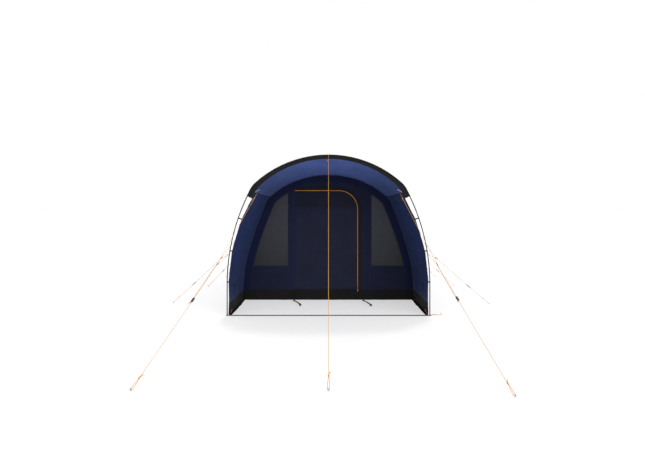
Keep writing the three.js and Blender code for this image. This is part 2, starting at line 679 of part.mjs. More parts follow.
for (const guy of GUYS) {
  addPart(`guy_${guy.name}`, guyLine(guy), 'cord');
  addPart(`peg_${guy.name}`, guyPeg(guy), 'steel');
  if (guy.runner) addPart(`runner_${guy.name}`, runner(guy), 'plastic');
}

export default group;
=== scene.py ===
# A tunnel tent with an open porch: sleeved pole hoops, a sewn fly, a front wall with a D-shaped
# door and two windows, a hanging inner tent and nine guy lines. Metres, +Z up, porch towards -Y.
import math
from functools import lru_cache

import bmesh
import bpy
from mathutils import Matrix, Vector, noise


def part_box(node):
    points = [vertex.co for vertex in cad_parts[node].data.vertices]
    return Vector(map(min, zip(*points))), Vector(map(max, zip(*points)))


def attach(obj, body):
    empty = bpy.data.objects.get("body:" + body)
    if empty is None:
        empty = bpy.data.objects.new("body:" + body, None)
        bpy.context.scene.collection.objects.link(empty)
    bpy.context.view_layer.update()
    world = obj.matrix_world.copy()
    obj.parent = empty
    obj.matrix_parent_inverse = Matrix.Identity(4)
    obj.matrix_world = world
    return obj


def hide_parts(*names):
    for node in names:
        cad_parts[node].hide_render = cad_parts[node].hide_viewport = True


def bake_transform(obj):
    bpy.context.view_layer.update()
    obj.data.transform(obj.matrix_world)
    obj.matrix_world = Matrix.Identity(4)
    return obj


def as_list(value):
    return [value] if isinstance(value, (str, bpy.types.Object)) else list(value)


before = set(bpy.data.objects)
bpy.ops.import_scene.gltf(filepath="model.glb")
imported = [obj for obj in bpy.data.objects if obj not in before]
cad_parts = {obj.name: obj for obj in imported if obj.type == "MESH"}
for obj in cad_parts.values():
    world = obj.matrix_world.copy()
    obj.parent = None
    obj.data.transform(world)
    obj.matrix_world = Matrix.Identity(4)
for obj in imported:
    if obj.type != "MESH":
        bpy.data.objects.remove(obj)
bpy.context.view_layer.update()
scene = bpy.context.scene

# ---------------------------------------------------------------------------------------------
# Studio: a standing camera five metres in front of the porch, a pale floor and soft white light.
# The key light comes from high behind, so that the porch roof drops its arched shadow towards
# the front. A broad fill from the front right reaches into the porch.
# ---------------------------------------------------------------------------------------------
EYE = (0, -7.07, 1.391)
LENS = 21.77
SHIFT = (-0.0093, -0.0395)
FLOOR_RADIUS = 120


def linear(code):
    """The linear colour of an sRGB hex value."""
    channels = (code >> 16 & 255, code >> 8 & 255, code & 255)
    shares = [channel / 255 for channel in channels]
    return (*(c / 12.92 if c <= 0.04045 else ((c + 0.055) / 1.055) ** 2.4 for c in shares), 1)


def add_node(material, kind, settings=None, **inputs):
    """A node with its own settings; each input takes a value or another node's output."""
    node = material.node_tree.nodes.new(kind)
    for name, value in (settings or {}).items():
        setattr(node, name, value)
    for name, value in inputs.items():
        socket = node.inputs[int(name[2:]) if name.startswith("in") else name.replace("_", " ")]
        if isinstance(value, bpy.types.NodeSocket):
            material.node_tree.links.new(value, socket)
        else:
            socket.default_value = value
    return node


def new_material(name, **inputs):
    """A material with one Principled shader, and that shader."""
    material = bpy.data.materials.new(name)
    material.use_nodes = True
    material.node_tree.nodes.clear()
    shader = add_node(material, "ShaderNodeBsdfPrincipled", **inputs)
    add_node(material, "ShaderNodeOutputMaterial", Surface=shader.outputs[0])
    return material, shader


def new_piece(name, mesh, smooth=True):
    """An object in the scene for a finished mesh, which holds its own place."""
    piece = bpy.data.objects.new(name, mesh)
    scene.collection.objects.link(piece)
    for face in mesh.polygons:
        face.use_smooth = smooth
    return piece


camera = bpy.data.objects.new("camera", bpy.data.cameras.new("camera"))
scene.collection.objects.link(camera)
camera.location = EYE
camera.rotation_euler = (math.radians(90), 0, 0)
camera.data.lens = LENS
camera.data.shift_x, camera.data.shift_y = SHIFT
scene.camera = camera

# Matt white studio floor, lit a little from below as a light table is.
floor_paint, floor_shader = new_material(
    "studio_floor", Base_Color=linear(0xABABAC), Roughness=0.9, Specular_IOR_Level=0.1,
    Emission_Color=(1, 1, 1, 1), Emission_Strength=0.52)
round_floor = bmesh.new()
bmesh.ops.create_circle(round_floor, cap_ends=True, segments=96, radius=FLOOR_RADIUS)
floor_mesh = bpy.data.meshes.new("floor")
round_floor.to_mesh(floor_mesh)
floor_mesh.materials.append(floor_paint)
new_piece("floor", floor_mesh)

scene.world = bpy.data.worlds.new("studio")
scene.world.use_nodes = True
scene.world.node_tree.nodes["Background"].inputs["Color"].default_value = (1, 1, 1, 1)
scene.world.node_tree.nodes["Background"].inputs["Strength"].default_value = 1.0

sun = bpy.data.objects.new("key_light", bpy.data.lights.new("key_light", "SUN"))
sun.data.energy = 0.9
sun.data.angle = math.radians(7)
sun.rotation_euler = (math.radians(-20), math.radians(4), 0)
scene.collection.objects.link(sun)

fill = bpy.data.objects.new("fill_light", bpy.data.lights.new("fill_light", "SUN"))
fill.data.energy = 1.2
fill.data.angle = math.radians(50)
fill.rotation_euler = Vector((0.74, -0.62, 0.26)).to_track_quat("Z", "Y").to_euler()
scene.collection.objects.link(fill)
scene.view_settings.view_transform = "Standard"


def dress(piece, material, body="tent", stands_for=()):
    """Gives a piece its material, the body it moves with, and the solids it stands for."""
    piece.data.materials.clear()
    piece.data.materials.append(material)
    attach(piece, body)
    if stands_for:
        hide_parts(*stands_for)
    return piece


# ---------------------------------------------------------------------------------------------
# Guy lines: 4 mm braided polyester cord, orange with a dark fleck. Each front, door and middle
# line starts as two legs that meet in a ring, runs through a runner and ends in a tied loop
# round its peg. The centre and rear lines are single cords.
# ---------------------------------------------------------------------------------------------
CORD = 0.002
LOOP = 0.105
PEG_WIRE = 0.0025
CORD_HEIGHT_AT_PEG = 0.009
BRAID_PITCH = 0.006

GUYS = {
    "front_centre": dict(starts=[(0, -2.084, 2.058)], peg=(0, -4.120)),
    "front_left": dict(starts=[(-0.914, -2.074, 1.568), (-1.255, -2.082, 0.806)],
                       ring=(-1.232, -2.780, 0.751), peg=(-1.493, -4.120), runner=0.36),
    "front_right": dict(starts=[(0.914, -2.074, 1.568), (1.255, -2.082, 0.806)],
                        ring=(1.194, -2.804, 0.755), peg=(1.365, -4.215), runner=0.34),
    "door_left": dict(starts=[(-0.936, -1.240, 1.506), (-1.179, -1.240, 0.852)],
                      ring=(-1.586, -1.318, 0.631), peg=(-2.246, -1.420), runner=0.57),
    "door_right": dict(starts=[(0.936, -1.240, 1.506), (1.179, -1.240, 0.852)],
                       ring=(1.591, -1.345, 0.632), peg=(2.294, -1.495), runner=0.61),
    "middle_left": dict(starts=[(-0.936, -0.070, 1.506), (-1.179, -0.070, 0.852)],
                        ring=(-1.530, -0.142, 0.620), peg=(-2.100, -0.255), runner=0.57),
    "middle_right": dict(starts=[(0.936, -0.070, 1.506), (1.179, -0.070, 0.852)],
                         ring=(1.560, -0.120, 0.620), peg=(2.210, -0.194), runner=0.58),
    "rear_left": dict(starts=[(-0.927, 0.880, 1.340)], peg=(-2.040, 0.700)),
    "rear_right": dict(starts=[(0.927, 0.880, 1.340)], peg=(2.116, 0.680)),
}


def tube(name, points, radius, sides=8, closed=False):
    """A round solid along points, with a UV map in metres: round it, then along it."""
    line = bpy.data.curves.new(name, "CURVE")
    line.dimensions = "3D"
    line.bevel_depth = radius
    line.bevel_resolution = (sides - 4) // 2
    line.use_fill_caps = not closed
    spline = line.splines.new("POLY")
    spline.points.add(len(points) - 1)
    for knot, point in zip(spline.points, points):
        knot.co = (*point, 1)
    spline.use_cyclic_u = closed
    holder = bpy.data.objects.new(name, line)
    scene.collection.objects.link(holder)
    bpy.context.view_layer.update()
    mesh = bpy.data.meshes.new_from_object(holder.evaluated_get(
        bpy.context.evaluated_depsgraph_get()))
    bpy.data.objects.remove(holder)
    bpy.data.curves.remove(line)
    long = measure(points)
    for corner in mesh.uv_layers[0].data:
        around, along = corner.uv
        corner.uv = (around * math.tau * radius, along * long)
    shape = bmesh.new()
    shape.from_mesh(mesh)
    bmesh.ops.remove_doubles(shape, verts=shape.verts, dist=radius * 0.01)
    bmesh.ops.recalc_face_normals(shape, faces=shape.faces)
    shape.to_mesh(mesh)
    mesh.name = name
    return new_piece(name, mesh)


def measure(points):
    """The length of a line through points."""
    return sum((Vector(b) - Vector(a)).length for a, b in zip(points, points[1:]))


def between(a, b, steps, sag=0.0):
    """Points from a to b, with a small sag at mid-span."""
    a, b = Vector(a), Vector(b)
    shares = [i / steps for i in range(steps + 1)]
    return [a.lerp(b, t) - Vector((0, 0, 4 * sag * t * (1 - t))) for t in shares]


def cord_finish():
    """Braided polyester cord, matt, with crossing strands and a dark tracer thread."""
    material, shader = new_material(
        "braided_cord", Roughness=0.75, Sheen_Weight=0.04, Sheen_Roughness=0.5,
        Specular_IOR_Level=0.2)
    place = add_node(material, "ShaderNodeTexCoord").outputs["UV"]
    strands = []
    for turn in (38, -38):
        turned = add_node(material, "ShaderNodeMapping", Vector=place,
                          Rotation=(0, 0, math.radians(turn))).outputs[0]
        wave = add_node(material, "ShaderNodeTexWave", {"bands_direction": "Y"},
                        Vector=turned, Scale=0.314 / BRAID_PITCH)
        strands.append(wave.outputs["Fac"])
    braid = add_node(material, "ShaderNodeMath", {"operation": "MAXIMUM"},
                     in0=strands[0], in1=strands[1]).outputs[0]
    tracer = add_node(material, "ShaderNodeMath", {"operation": "GREATER_THAN"},
                      in0=strands[0], in1=0.93).outputs[0]
    yarn = add_node(material, "ShaderNodeMix", {"data_type": "RGBA"}, in0=braid,
                    in6=linear(0xA8731E), in7=linear(0xE0A238)).outputs[2]
    colour = add_node(material, "ShaderNodeMix", {"data_type": "RGBA"}, in0=tracer,
                      in6=yarn, in7=linear(0xC98A34)).outputs[2]
    bump = add_node(material, "ShaderNodeBump", Height=braid, Strength=0.6, Distance=0.0006)
    material.node_tree.links.new(colour, shader.inputs["Base Color"])
    material.node_tree.links.new(bump.outputs[0], shader.inputs["Normal"])
    return material


def moulded(name, colour, roughness=0.45, grain=0.0012):
    """Injection-moulded nylon: a faint spark-eroded grain breaks up its sheen."""
    material, shader = new_material(name, Base_Color=linear(colour), IOR=1.53)
    place = add_node(material, "ShaderNodeTexCoord").outputs["Object"]
    speckle = add_node(material, "ShaderNodeTexNoise", Vector=place, Scale=1 / grain, Detail=3)
    gloss = add_node(material, "ShaderNodeMapRange", in0=speckle.outputs["Fac"],
                     in3=roughness - 0.08, in4=roughness + 0.1).outputs[0]
    bump = add_node(material, "ShaderNodeBump", Height=speckle.outputs["Fac"],
                    Strength=0.25, Distance=0.0002)
    material.node_tree.links.new(gloss, shader.inputs["Roughness"])
    material.node_tree.links.new(bump.outputs[0], shader.inputs["Normal"])
    return material


def zinc_wire():
    """Zinc-plated steel wire, dulled, with drawing lines and a spangle of grey."""
    material, shader = new_material("zinc_wire", Metallic=1)
    place = add_node(material, "ShaderNodeTexCoord").outputs["Object"]
    spangle = add_node(material, "ShaderNodeTexNoise", Vector=place, Scale=400, Detail=4)
    colour = add_node(material, "ShaderNodeMix", {"data_type": "RGBA"},
                      in0=spangle.outputs["Fac"], in6=linear(0x9C9FA2),
                      in7=linear(0xD2D4D6)).outputs[2]
    gloss = add_node(material, "ShaderNodeMapRange", in0=spangle.outputs["Fac"],
                     in3=0.25, in4=0.5).outputs[0]
    material.node_tree.links.new(colour, shader.inputs["Base Color"])
    material.node_tree.links.new(gloss, shader.inputs["Roughness"])
    return material


braided_cord = cord_finish()
black_nylon = moulded("black_nylon", 0x141414)
orange_nylon = moulded("orange_nylon", 0xD2701A)
zinc = zinc_wire()


def knot(name, centre, along, turns=3, tail=0.03):
    """A barrel knot: the cord wound round the line, with a short tail standing off it."""
    along = Vector(along).normalized()
    side = along.cross(Vector((0, 0, 1))).normalized()
    up = side.cross(along)
    wound, pitch, steps = CORD * 2.3, CORD * 2.1, 10
    start = Vector(centre) - along * (turns * pitch / 2)
    coil = []
    for i in range(turns * steps + 1):
        turn = math.tau * i / steps
        around = side * math.cos(turn) + up * math.sin(turn)
        coil.append(start + around * wound + along * (pitch * i / steps))
    end = coil[-1] - start - along * (turns * pitch)
    out = end.normalized()
    loose = [coil[-1] + along * (tail * t) + out * (tail * 0.5 * t) for t in (0.3, 0.65, 1)]
    return tube(name, coil + loose, CORD * 0.95)


def pegged_end(knot_at, peg_at, along):
    """The bight that goes round the peg and comes back to its knot."""
    side = along.cross(Vector((0, 0, 1))).normalized()
    flat = Vector((along.x, along.y, 0)).normalized()
    bight = 2 * 2 * CORD
    middle = peg_at - flat * (bight - PEG_WIRE - CORD - 0.0005)
    ring = [middle + (side * math.cos(a) + flat * math.sin(a)) * bight
            for a in (math.radians(d) for d in range(0, 181, 15))]

    def strand(share, offset):
        ease = min(1, share / 0.7)
        spread = ease * ease * (3 - 2 * ease)
        return knot_at.lerp(middle, share) + side * (offset + (bight - abs(offset))
                                                     * math.copysign(spread, offset))

    out = [strand(i / 14, 0.0001) for i in range(1, 14)]
    back = [strand(i / 14, -0.0046) for i in range(13, -1, -1)]
    tail = [knot_at - along * run - side * (0.0046 + run * run * 6)
            for run in (0.008, 0.016, 0.024, 0.032)]
    return out + ring + back + tail


def bent_peg(name, x, y, away):
    """The hooked head of a wire peg that stands above the ground."""
    away = Vector((away[0], away[1], 0)).normalized()
    stem = [Vector((x, y, z)) for z in (0, 0.004, 0.009, 0.013)]
    bend = []
    for i in range(1, 10):
        turn = math.radians(20 * i)
        bend.append(Vector((x, y, 0.0155)) + away * (0.0075 * (1 - math.cos(turn)))
                    + Vector((0, 0, 0.0075 * math.sin(turn))))
    return tube(name, stem + bend, PEG_WIRE, sides=12)


def runner_plate(name, centre, along, long=0.06, wide=0.022, thick=0.009):
    """A flat runner with rounded ends, three holes for the cord and softened edges."""
    line = bpy.data.curves.new(name, "CURVE")
    line.dimensions = "2D"
    line.fill_mode = "BOTH"
    line.extrude = thick / 2 - 0.0015
    line.bevel_depth = 0.0015
    line.bevel_resolution = 2

    def outline(points):
        spline = line.splines.new("POLY")
        spline.points.add(len(points) - 1)
        for point, (px, py) in zip(spline.points, points):
            point.co = (px, py, 0, 1)
        spline.use_cyclic_u = True

    radius, steps = wide / 2 - 0.0015, 12
    half = long / 2 - wide / 2
    outline([(math.copysign(half, math.cos(a)) + radius * math.cos(a), radius * math.sin(a))
             for a in (math.tau * (i + 0.5) / (2 * steps) for i in range(2 * steps))])
    for middle in (-0.016, 0, 0.016):
        outline([(middle + 0.0045 * math.cos(a), 0.0045 * math.sin(a))
                 for a in (math.tau * i / steps for i in range(steps))])
    holder = bpy.data.objects.new(name, line)
    scene.collection.objects.link(holder)
    bpy.context.view_layer.update()
    mesh = bpy.data.meshes.new_from_object(holder.evaluated_get(
        bpy.context.evaluated_depsgraph_get()))
    bpy.data.objects.remove(holder)
    shape = bmesh.new()
    shape.from_mesh(mesh)
    bmesh.ops.remove_doubles(shape, verts=shape.verts, dist=1e-5)
    bmesh.ops.recalc_face_normals(shape, faces=shape.faces)
    shape.to_mesh(mesh)
    along = Vector(along).normalized()
    side = along.cross(Vector((0, 0, 1))).normalized()
    turn = Matrix((along, side, along.cross(side))).transposed().to_4x4()
    mesh.transform(Matrix.Translation(centre) @ turn)
    return new_piece(name, mesh, smooth=False)


def ring_of(name, centre, normal, radius, wire, sides=8):
    """A welded ring."""
    normal = Vector(normal).normalized()
    across = normal.orthogonal().normalized()
    other = normal.cross(across)
    points = [Vector(centre) + (across * math.cos(a) + other * math.sin(a)) * radius
              for a in (math.tau * i / 28 for i in range(28))]
    return tube(name, points, wire, sides=sides, closed=True)


def lay_guy(label, guy):
    """One guy line with its legs, ring, runner, knots and peg."""
    peg_at = Vector((*guy["peg"], CORD_HEIGHT_AT_PEG))
    top = Vector(guy.get("ring", guy["starts"][0]))
    along = (peg_at - top).normalized()
    knot_at = peg_at - along * LOOP
    knots = [knot(f"{label}_loop_knot", knot_at, -along)]
    route = between(top, knot_at, 12, sag=0.004) + pegged_end(knot_at, peg_at, along)
    peg = bent_peg(f"{label}_peg_hook", *guy["peg"], along)
    dress(peg, zinc, stands_for=[f"peg_{label}"])
    if "ring" not in guy:
        knots.append(knot(f"{label}_top_knot", top + along * 0.1, along))
    else:
        away = (Vector(guy["starts"][0]) - top).normalized()
        circle = ring_of(f"{label}_ring", top, along.cross(away), 0.008, 0.0018)
        dress(circle, black_nylon)
    line = tube(f"{label}_line", route, CORD)
    dress(line, braided_cord, stands_for=[f"guy_{label}"])
    round(measure(route), 3)
    [tuple(p) for p in route]
    if "ring" in guy:
        for place, start in zip(("upper", "lower"), guy["starts"]):
            start = Vector(start)
            down = (top - start).normalized()
            leg_route = between(start, top - down * 0.006, 8, sag=0.002)
            leg = tube(f"{label}_{place}_leg", leg_route, CORD)
            dress(leg, braided_cord)
            tied = [knot(f"{label}_{place}_knot", start + down * 0.09, down),
                    knot(f"{label}_{place}_ring_knot", top - down * 0.02, -down, tail=0.02)]
            knots += tied
            tuple(start)
            round(measure(leg_route), 3)
            [tuple(p) for p in leg_route]
            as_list(tied)
        lay_runner(label, guy, top, peg_at, along)
    for tied in knots:
        dress(tied, braided_cord)


def lay_runner(label, guy, top, peg_at, along):
    """The runner, and the doubled strand that comes back to it from the ring."""
    reach = Vector((along.x, along.y, 0)).normalized() * 0.0075
    centre = top.lerp(peg_at - reach, guy["runner"])
    body = f"runner_{label}"
    side = along.cross(Vector((0, 0, 1))).normalized()
    plate = runner_plate(f"{label}_runner", centre, along)
    dress(plate, black_nylon, body=body, stands_for=[body])
    offset = side * 0.0075 + along.cross(side) * -0.0005
    route = between(top + along * 0.009 + offset, centre + offset - along * 0.031, 10, sag=0.003)
    strand = tube(f"{label}_doubled_strand", route, CORD)
    strand.data.materials.append(braided_cord)
    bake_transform(strand)
    tuple(route[0])
    round(measure(route), 3)
    [tuple(p) for p in route]
    stopper = knot(f"{label}_stopper_knot", centre + offset + along * 0.037, along, turns=2,
                   tail=0.018)
    dress(stopper, braided_cord, body=body)


for label, guy in GUYS.items():
    lay_guy(label, guy)

# ---------------------------------------------------------------------------------------------
# Pole hoops: 13 mm black-lacquered steel tube in swaged sections. The front hoop is a round arch
# with a bent leg plugged into each end; the other three are single hoops of the same outline.
# ---------------------------------------------------------------------------------------------
POLE_RADIUS = 0.0065
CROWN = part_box("front_hoop_arch")[1].z - POLE_RADIUS
HALF_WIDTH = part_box("front_hoop_right_leg")[1].x - POLE_RADIUS
TOP_RADIUS = 1.4
TOP_SWEEP = math.radians(44)
STRAIGHT_FOOT = 0.4
ELBOW_BEND = 0.045
SECTION = 0.6
STRAP_THICKNESS = 0.003

# y, half width, height, how far the cloth lies inside the poles and how much the outline is
# pinched at mid height, at each hoop and the tail
STATIONS = {
    "front": (-2.070, 1.299, 2.056, 0.060, 0.0),
    "door": (-1.240, 1.299, 1.886, 0.013, 0.08),
    "middle": (-0.070, 1.299, 1.886, 0.013, 0.08),
    "rear": (0.880, 1.270, 1.712, 0.013, 0.08),
    "end": (2.070, 1.150, 0.340, 0.013, 0.0),
}
PINCH_RATE = math.pi / (1.3 * CROWN)
FRONT_Y, DOOR_Y, MIDDLE_Y, REAR_Y, END_Y = (station[0] for station in STATIONS.values())
FLY_INSET = STATIONS["door"][3]

ELBOW = TOP_RADIUS * TOP_SWEEP
ELBOW_X = TOP_RADIUS * math.sin(TOP_SWEEP)
ELBOW_Z = CROWN - TOP_RADIUS * (1 - math.cos(TOP_SWEEP))
SIDE_RUN, SIDE_RISE = HALF_WIDTH - ELBOW_X, ELBOW_Z - STRAIGHT_FOOT
SIDE_RADIUS = (SIDE_RUN ** 2 + SIDE_RISE ** 2) / (2 * SIDE_RUN)
SIDE_SWEEP = math.asin(SIDE_RISE / SIDE_RADIUS)
STRAIGHT = ELBOW + SIDE_RADIUS * SIDE_SWEEP
FOOT = STRAIGHT + STRAIGHT_FOOT


def sharp_outline(arc):
    """x, z and outward angle of the front hoop's right half at an arc length from its crown."""
    if arc <= ELBOW:
        turn = arc / TOP_RADIUS
        return TOP_RADIUS * math.sin(turn), CROWN - TOP_RADIUS * (1 - math.cos(turn)), turn
    if arc <= STRAIGHT:
        rise = (STRAIGHT - arc) / SIDE_RADIUS
        x = HALF_WIDTH - SIDE_RADIUS * (1 - math.cos(rise))
        return x, STRAIGHT_FOOT + SIDE_RADIUS * math.sin(rise), math.pi / 2 - rise
    return HALF_WIDTH, FOOT - arc, math.pi / 2


def outline(arc):
    """The outline with its elbow bent to a short curve instead of a corner."""
    share = (arc - ELBOW + ELBOW_BEND) / (2 * ELBOW_BEND)
    if not 0 < share < 1:
        return sharp_outline(arc)
    a, b, c = (sharp_outline(ELBOW + d) for d in (-ELBOW_BEND, 0, ELBOW_BEND))
    weights = ((1 - share) ** 2, 2 * share * (1 - share), share ** 2)
    x, z = (sum(w * p[i] for w, p in zip(weights, (a, b, c))) for i in (0, 1))
    return x, z, a[2] + (c[2] - a[2]) * share


def station_at(y):
    """Width share, height share, cloth inset and pinch at y, straight between the hoops."""
    stops = list(STATIONS.values())
    for a, b in zip(stops, stops[1:]):
        if y <= b[0] or b is stops[-1]:
            t = (y - a[0]) / (b[0] - a[0])
            wide, high, inset, pinch = (a[i] + (b[i] - a[i]) * t for i in (1, 2, 3, 4))
            return wide / HALF_WIDTH, high / CROWN, inset, pinch
    return None


def on_hoop(y, arc, inset=0.0):
    """The point at y and a signed arc length (left is negative), inset from the pole line."""
    wide, high, _, pinch = station_at(y)
    x, z, turn = outline(abs(arc))
    narrowed = wide * (1 - pinch * math.sin(PINCH_RATE * z) ** 2)
    lean = wide * x * pinch * PINCH_RATE * math.sin(2 * PINCH_RATE * z)
    normal = Vector((high * math.sin(turn), lean * math.sin(turn) + narrowed * math.cos(turn)))
    normal = normal.normalized() * inset
    x = x * narrowed - normal.x
    return Vector((-x if arc < 0 else x, y, z * high - normal.y))


@lru_cache(maxsize=None)
def arc_at(y, z, inset=0.0):
    """The arc length on the right-hand side at which the outline passes a height."""
    low, high = 0.0, FOOT
    for _ in range(40):
        middle = (low + high) / 2
        low, high = (middle, high) if on_hoop(y, middle, inset).z > z else (low, middle)
    return (low + high) / 2


def spread(a, b, count):
    """count + 1 even values from a to b."""
    return [a + (b - a) * i / count for i in range(count + 1)]


def lacquered_tube():
    """Black stove lacquer over steel: glossy, with faint orange peel and rubbed patches."""
    material, shader = new_material("black_lacquer", Base_Color=linear(0x08090A), IOR=1.5,
                                    Specular_IOR_Level=0.22)
    place = add_node(material, "ShaderNodeTexCoord").outputs["Object"]
    rub = add_node(material, "ShaderNodeTexNoise", Vector=place, Scale=14, Detail=5)
    gloss = add_node(material, "ShaderNodeMapRange", in0=rub.outputs["Fac"],
                     in3=0.24, in4=0.46).outputs[0]
    peel = add_node(material, "ShaderNodeTexNoise", Vector=place, Scale=900, Detail=1)
    bump = add_node(material, "ShaderNodeBump", Height=peel.outputs["Fac"],
                    Strength=0.1, Distance=0.0002)
    material.node_tree.links.new(gloss, shader.inputs["Roughness"])
    material.node_tree.links.new(bump.outputs[0], shader.inputs["Normal"])
    return material


lacquer = lacquered_tube()
FOOT_END = FOOT - STRAP_THICKNESS - 0.0005
PLUG_ARC = ELBOW - 0.06


def hoop_pole(name, y, start, stop, node):
    """A stretch of hoop with a swaged collar at each section joint."""
    steps = max(4, round(abs(stop - start) / 0.02))
    pole = tube(name, [on_hoop(y, arc) for arc in spread(start, stop, steps)], POLE_RADIUS,
                sides=16)
    dress(pole, lacquer, stands_for=[node])
    joints = round(abs(stop - start) / SECTION)
    for i in range(1, joints):
        arc = start + (stop - start) * i / joints
        collar = [on_hoop(y, arc + d) for d in (-0.014, -0.0125, 0, 0.0125, 0.014)]
        dress(tube(f"{name}_collar_{i}", collar, POLE_RADIUS + 0.0007, sides=16),
              lacquer)


hoop_pole("front_arch_pole", FRONT_Y, -PLUG_ARC, PLUG_ARC, "front_hoop_arch")
hoop_pole("front_left_pole", FRONT_Y, -PLUG_ARC - 0.0005, -FOOT_END, "front_hoop_left_leg")
hoop_pole("front_right_pole", FRONT_Y, PLUG_ARC + 0.0005, FOOT_END, "front_hoop_right_leg")
for hoop in ("door", "middle", "rear"):
    hoop_pole(f"{hoop}_pole", STATIONS[hoop][0], -FOOT_END, FOOT_END, f"{hoop}_hoop")

# ---------------------------------------------------------------------------------------------
# Pole sleeves: black coated polyester, folded over each pole and sewn down with a double row of
# stitches. The front sleeve has a broad web that carries the porch roof; the others have a
# flange either side that is sewn to the fly.
# ---------------------------------------------------------------------------------------------
SLEEVE_END = ELBOW + 0.15
SLEEVE_BORE = 0.0088
WEB_AT_CROWN, WEB_AT_END = 0.047, 0.068
FLANGE = 0.026
THREAD_PITCH = 0.0016
STITCH = 0.005


def weave_height(material, place, pitch):
    """Plain weave: threads crossing at right angles, drawn coarser than the real 0.3 mm."""
    waves = [add_node(material, "ShaderNodeTexWave", {"bands_direction": way}, Vector=place,
                      Scale=0.314 / pitch).outputs["Fac"] for way in ("X", "Y")]
    return add_node(material, "ShaderNodeMath", {"operation": "MULTIPLY"},
                    in0=waves[0], in1=waves[1]).outputs[0]


def coated_cloth(name, colour, shade, roughness=0.62, sheen=0.03, pitch=THREAD_PITCH):
    """Coated polyester taffeta: matt with a slight sheen, a fine weave, soft handling creases
    and a faint change of shade where the coating is thicker. shade is its darker colour."""
    material, shader = new_material(
        name, IOR=1.46, Sheen_Weight=sheen, Sheen_Roughness=0.4, Specular_IOR_Level=0.16)
    place = add_node(material, "ShaderNodeTexCoord").outputs["UV"]
    cloud = add_node(material, "ShaderNodeTexNoise", Vector=place, Scale=3.2, Detail=5,
                     Roughness=0.6)
    weave = weave_height(material, place, pitch)
    tint = add_node(material, "ShaderNodeMapRange", in0=cloud.outputs["Fac"], in1=0.3, in2=0.7)
    colour_mix = add_node(material, "ShaderNodeMix", {"data_type": "RGBA"},
                          in0=tint.outputs[0], in6=linear(shade), in7=linear(colour)).outputs[2]
    thread = add_node(material, "ShaderNodeMapRange", in0=weave, in3=0.93, in4=1.05).outputs[0]
    threads = add_node(material, "ShaderNodeVectorMath", {"operation": "SCALE"},
                       in0=colour_mix, Scale=thread).outputs[0]
    crease = add_node(material, "ShaderNodeTexNoise", Vector=place, Scale=7, Detail=6,
                      Roughness=0.55, Distortion=0.6)
    soft = add_node(material, "ShaderNodeBump", Height=crease.outputs["Fac"],
                    Strength=0.35, Distance=0.006)
    fine = add_node(material, "ShaderNodeBump", Height=weave, Strength=0.35, Distance=0.0003,
                    Normal=soft.outputs[0])
    gloss = add_node(material, "ShaderNodeMapRange", in0=cloud.outputs["Fac"],
                     in3=roughness + 0.06, in4=roughness - 0.06).outputs[0]
    material.node_tree.links.new(threads, shader.inputs["Base Color"])
    material.node_tree.links.new(gloss, shader.inputs["Roughness"])
    material.node_tree.links.new(fine.outputs[0], shader.inputs["Normal"])
    return material


def stitched_tape(name, colour, thread, width, rib=0.0024, roughness=0.8):
    """Woven tape: ribs across it, and a row of lockstitches just inside each edge."""
    material, shader = new_material(
        name, Roughness=roughness, Sheen_Weight=0.03, Sheen_Roughness=0.5,
        Specular_IOR_Level=0.16)
    place = add_node(material, "ShaderNodeTexCoord").outputs["UV"]
    parts = add_node(material, "ShaderNodeSeparateXYZ", in0=place)
    ribs = add_node(material, "ShaderNodeTexWave", {"bands_direction": "X"}, Vector=place,
                    Scale=0.314 / rib).outputs["Fac"]
    far = add_node(material, "ShaderNodeMath", {"operation": "ABSOLUTE"},
                   in0=parts.outputs["Y"]).outputs[0]
    row = add_node(material, "ShaderNodeMath", {"operation": "COMPARE"},
                   in0=far, in1=width * 0.36, in2=0.0006).outputs[0]
    dash = add_node(material, "ShaderNodeMath", {"operation": "PINGPONG"},
                    in0=parts.outputs["X"], in1=STITCH / 2).outputs[0]
    down = add_node(material, "ShaderNodeMath", {"operation": "GREATER_THAN"},
                    in0=dash, in1=STITCH * 0.14).outputs[0]
    stitch = add_node(material, "ShaderNodeMath", {"operation": "MULTIPLY"},
                      in0=row, in1=down).outputs[0]
    ribbed = add_node(material, "ShaderNodeMix", {"data_type": "RGBA"}, in0=ribs,
                      in6=linear(colour), in7=linear(thread)).outputs[2]
    plain = add_node(material, "ShaderNodeMix", {"data_type": "RGBA"}, in0=0.3,
                     in6=linear(colour), in7=ribbed).outputs[2]
    sewn = add_node(material, "ShaderNodeMix", {"data_type": "RGBA"}, in0=stitch,
                    in6=plain, in7=linear(thread)).outputs[2]
    height = add_node(material, "ShaderNodeMath", {"operation": "ADD"}, in0=stitch,
                      in1=ribs).outputs[0]
    bump = add_node(material, "ShaderNodeBump", Height=height, Strength=0.5, Distance=0.0004)
    material.node_tree.links.new(sewn, shader.inputs["Base Color"])
    material.node_tree.links.new(bump.outputs[0], shader.inputs["Normal"])
    return material


def thick_sheet(name, work, thickness):
    """The finished sheet: its open edges stay crisp, and it gets its thickness."""
    for edge in work.edges:
        edge.smooth = not edge.is_boundary
    mesh = bpy.data.meshes.new(name)
    work.to_mesh(mesh)
    piece = new_piece(name, mesh)
    wall = piece.modifiers.new("thickness", "SOLIDIFY")
    wall.thickness = thickness
    wall.offset = 0
    return piece


def sheet(name, columns, rows, place, size, thickness=0.0008):
    """One sheet of cloth: a grid whose points place(u, v) puts where they hang, u and v running
    from 0 to 1. size is its width and length in metres, for its UV map."""
    work = bmesh.new()
    bmesh.ops.create_grid(work, x_segments=columns, y_segments=rows, size=0.5)
    layer = work.loops.layers.uv.new("UVMap")
    for face in work.faces:
        for corner in face.loops:
            at = corner.vert.co
            corner[layer].uv = ((at.x + 0.5) * size[0], at.y * size[1])
    for vert in work.verts:
        vert.co = place(vert.co.x + 0.5, vert.co.y + 0.5)
    return thick_sheet(name, work, thickness)


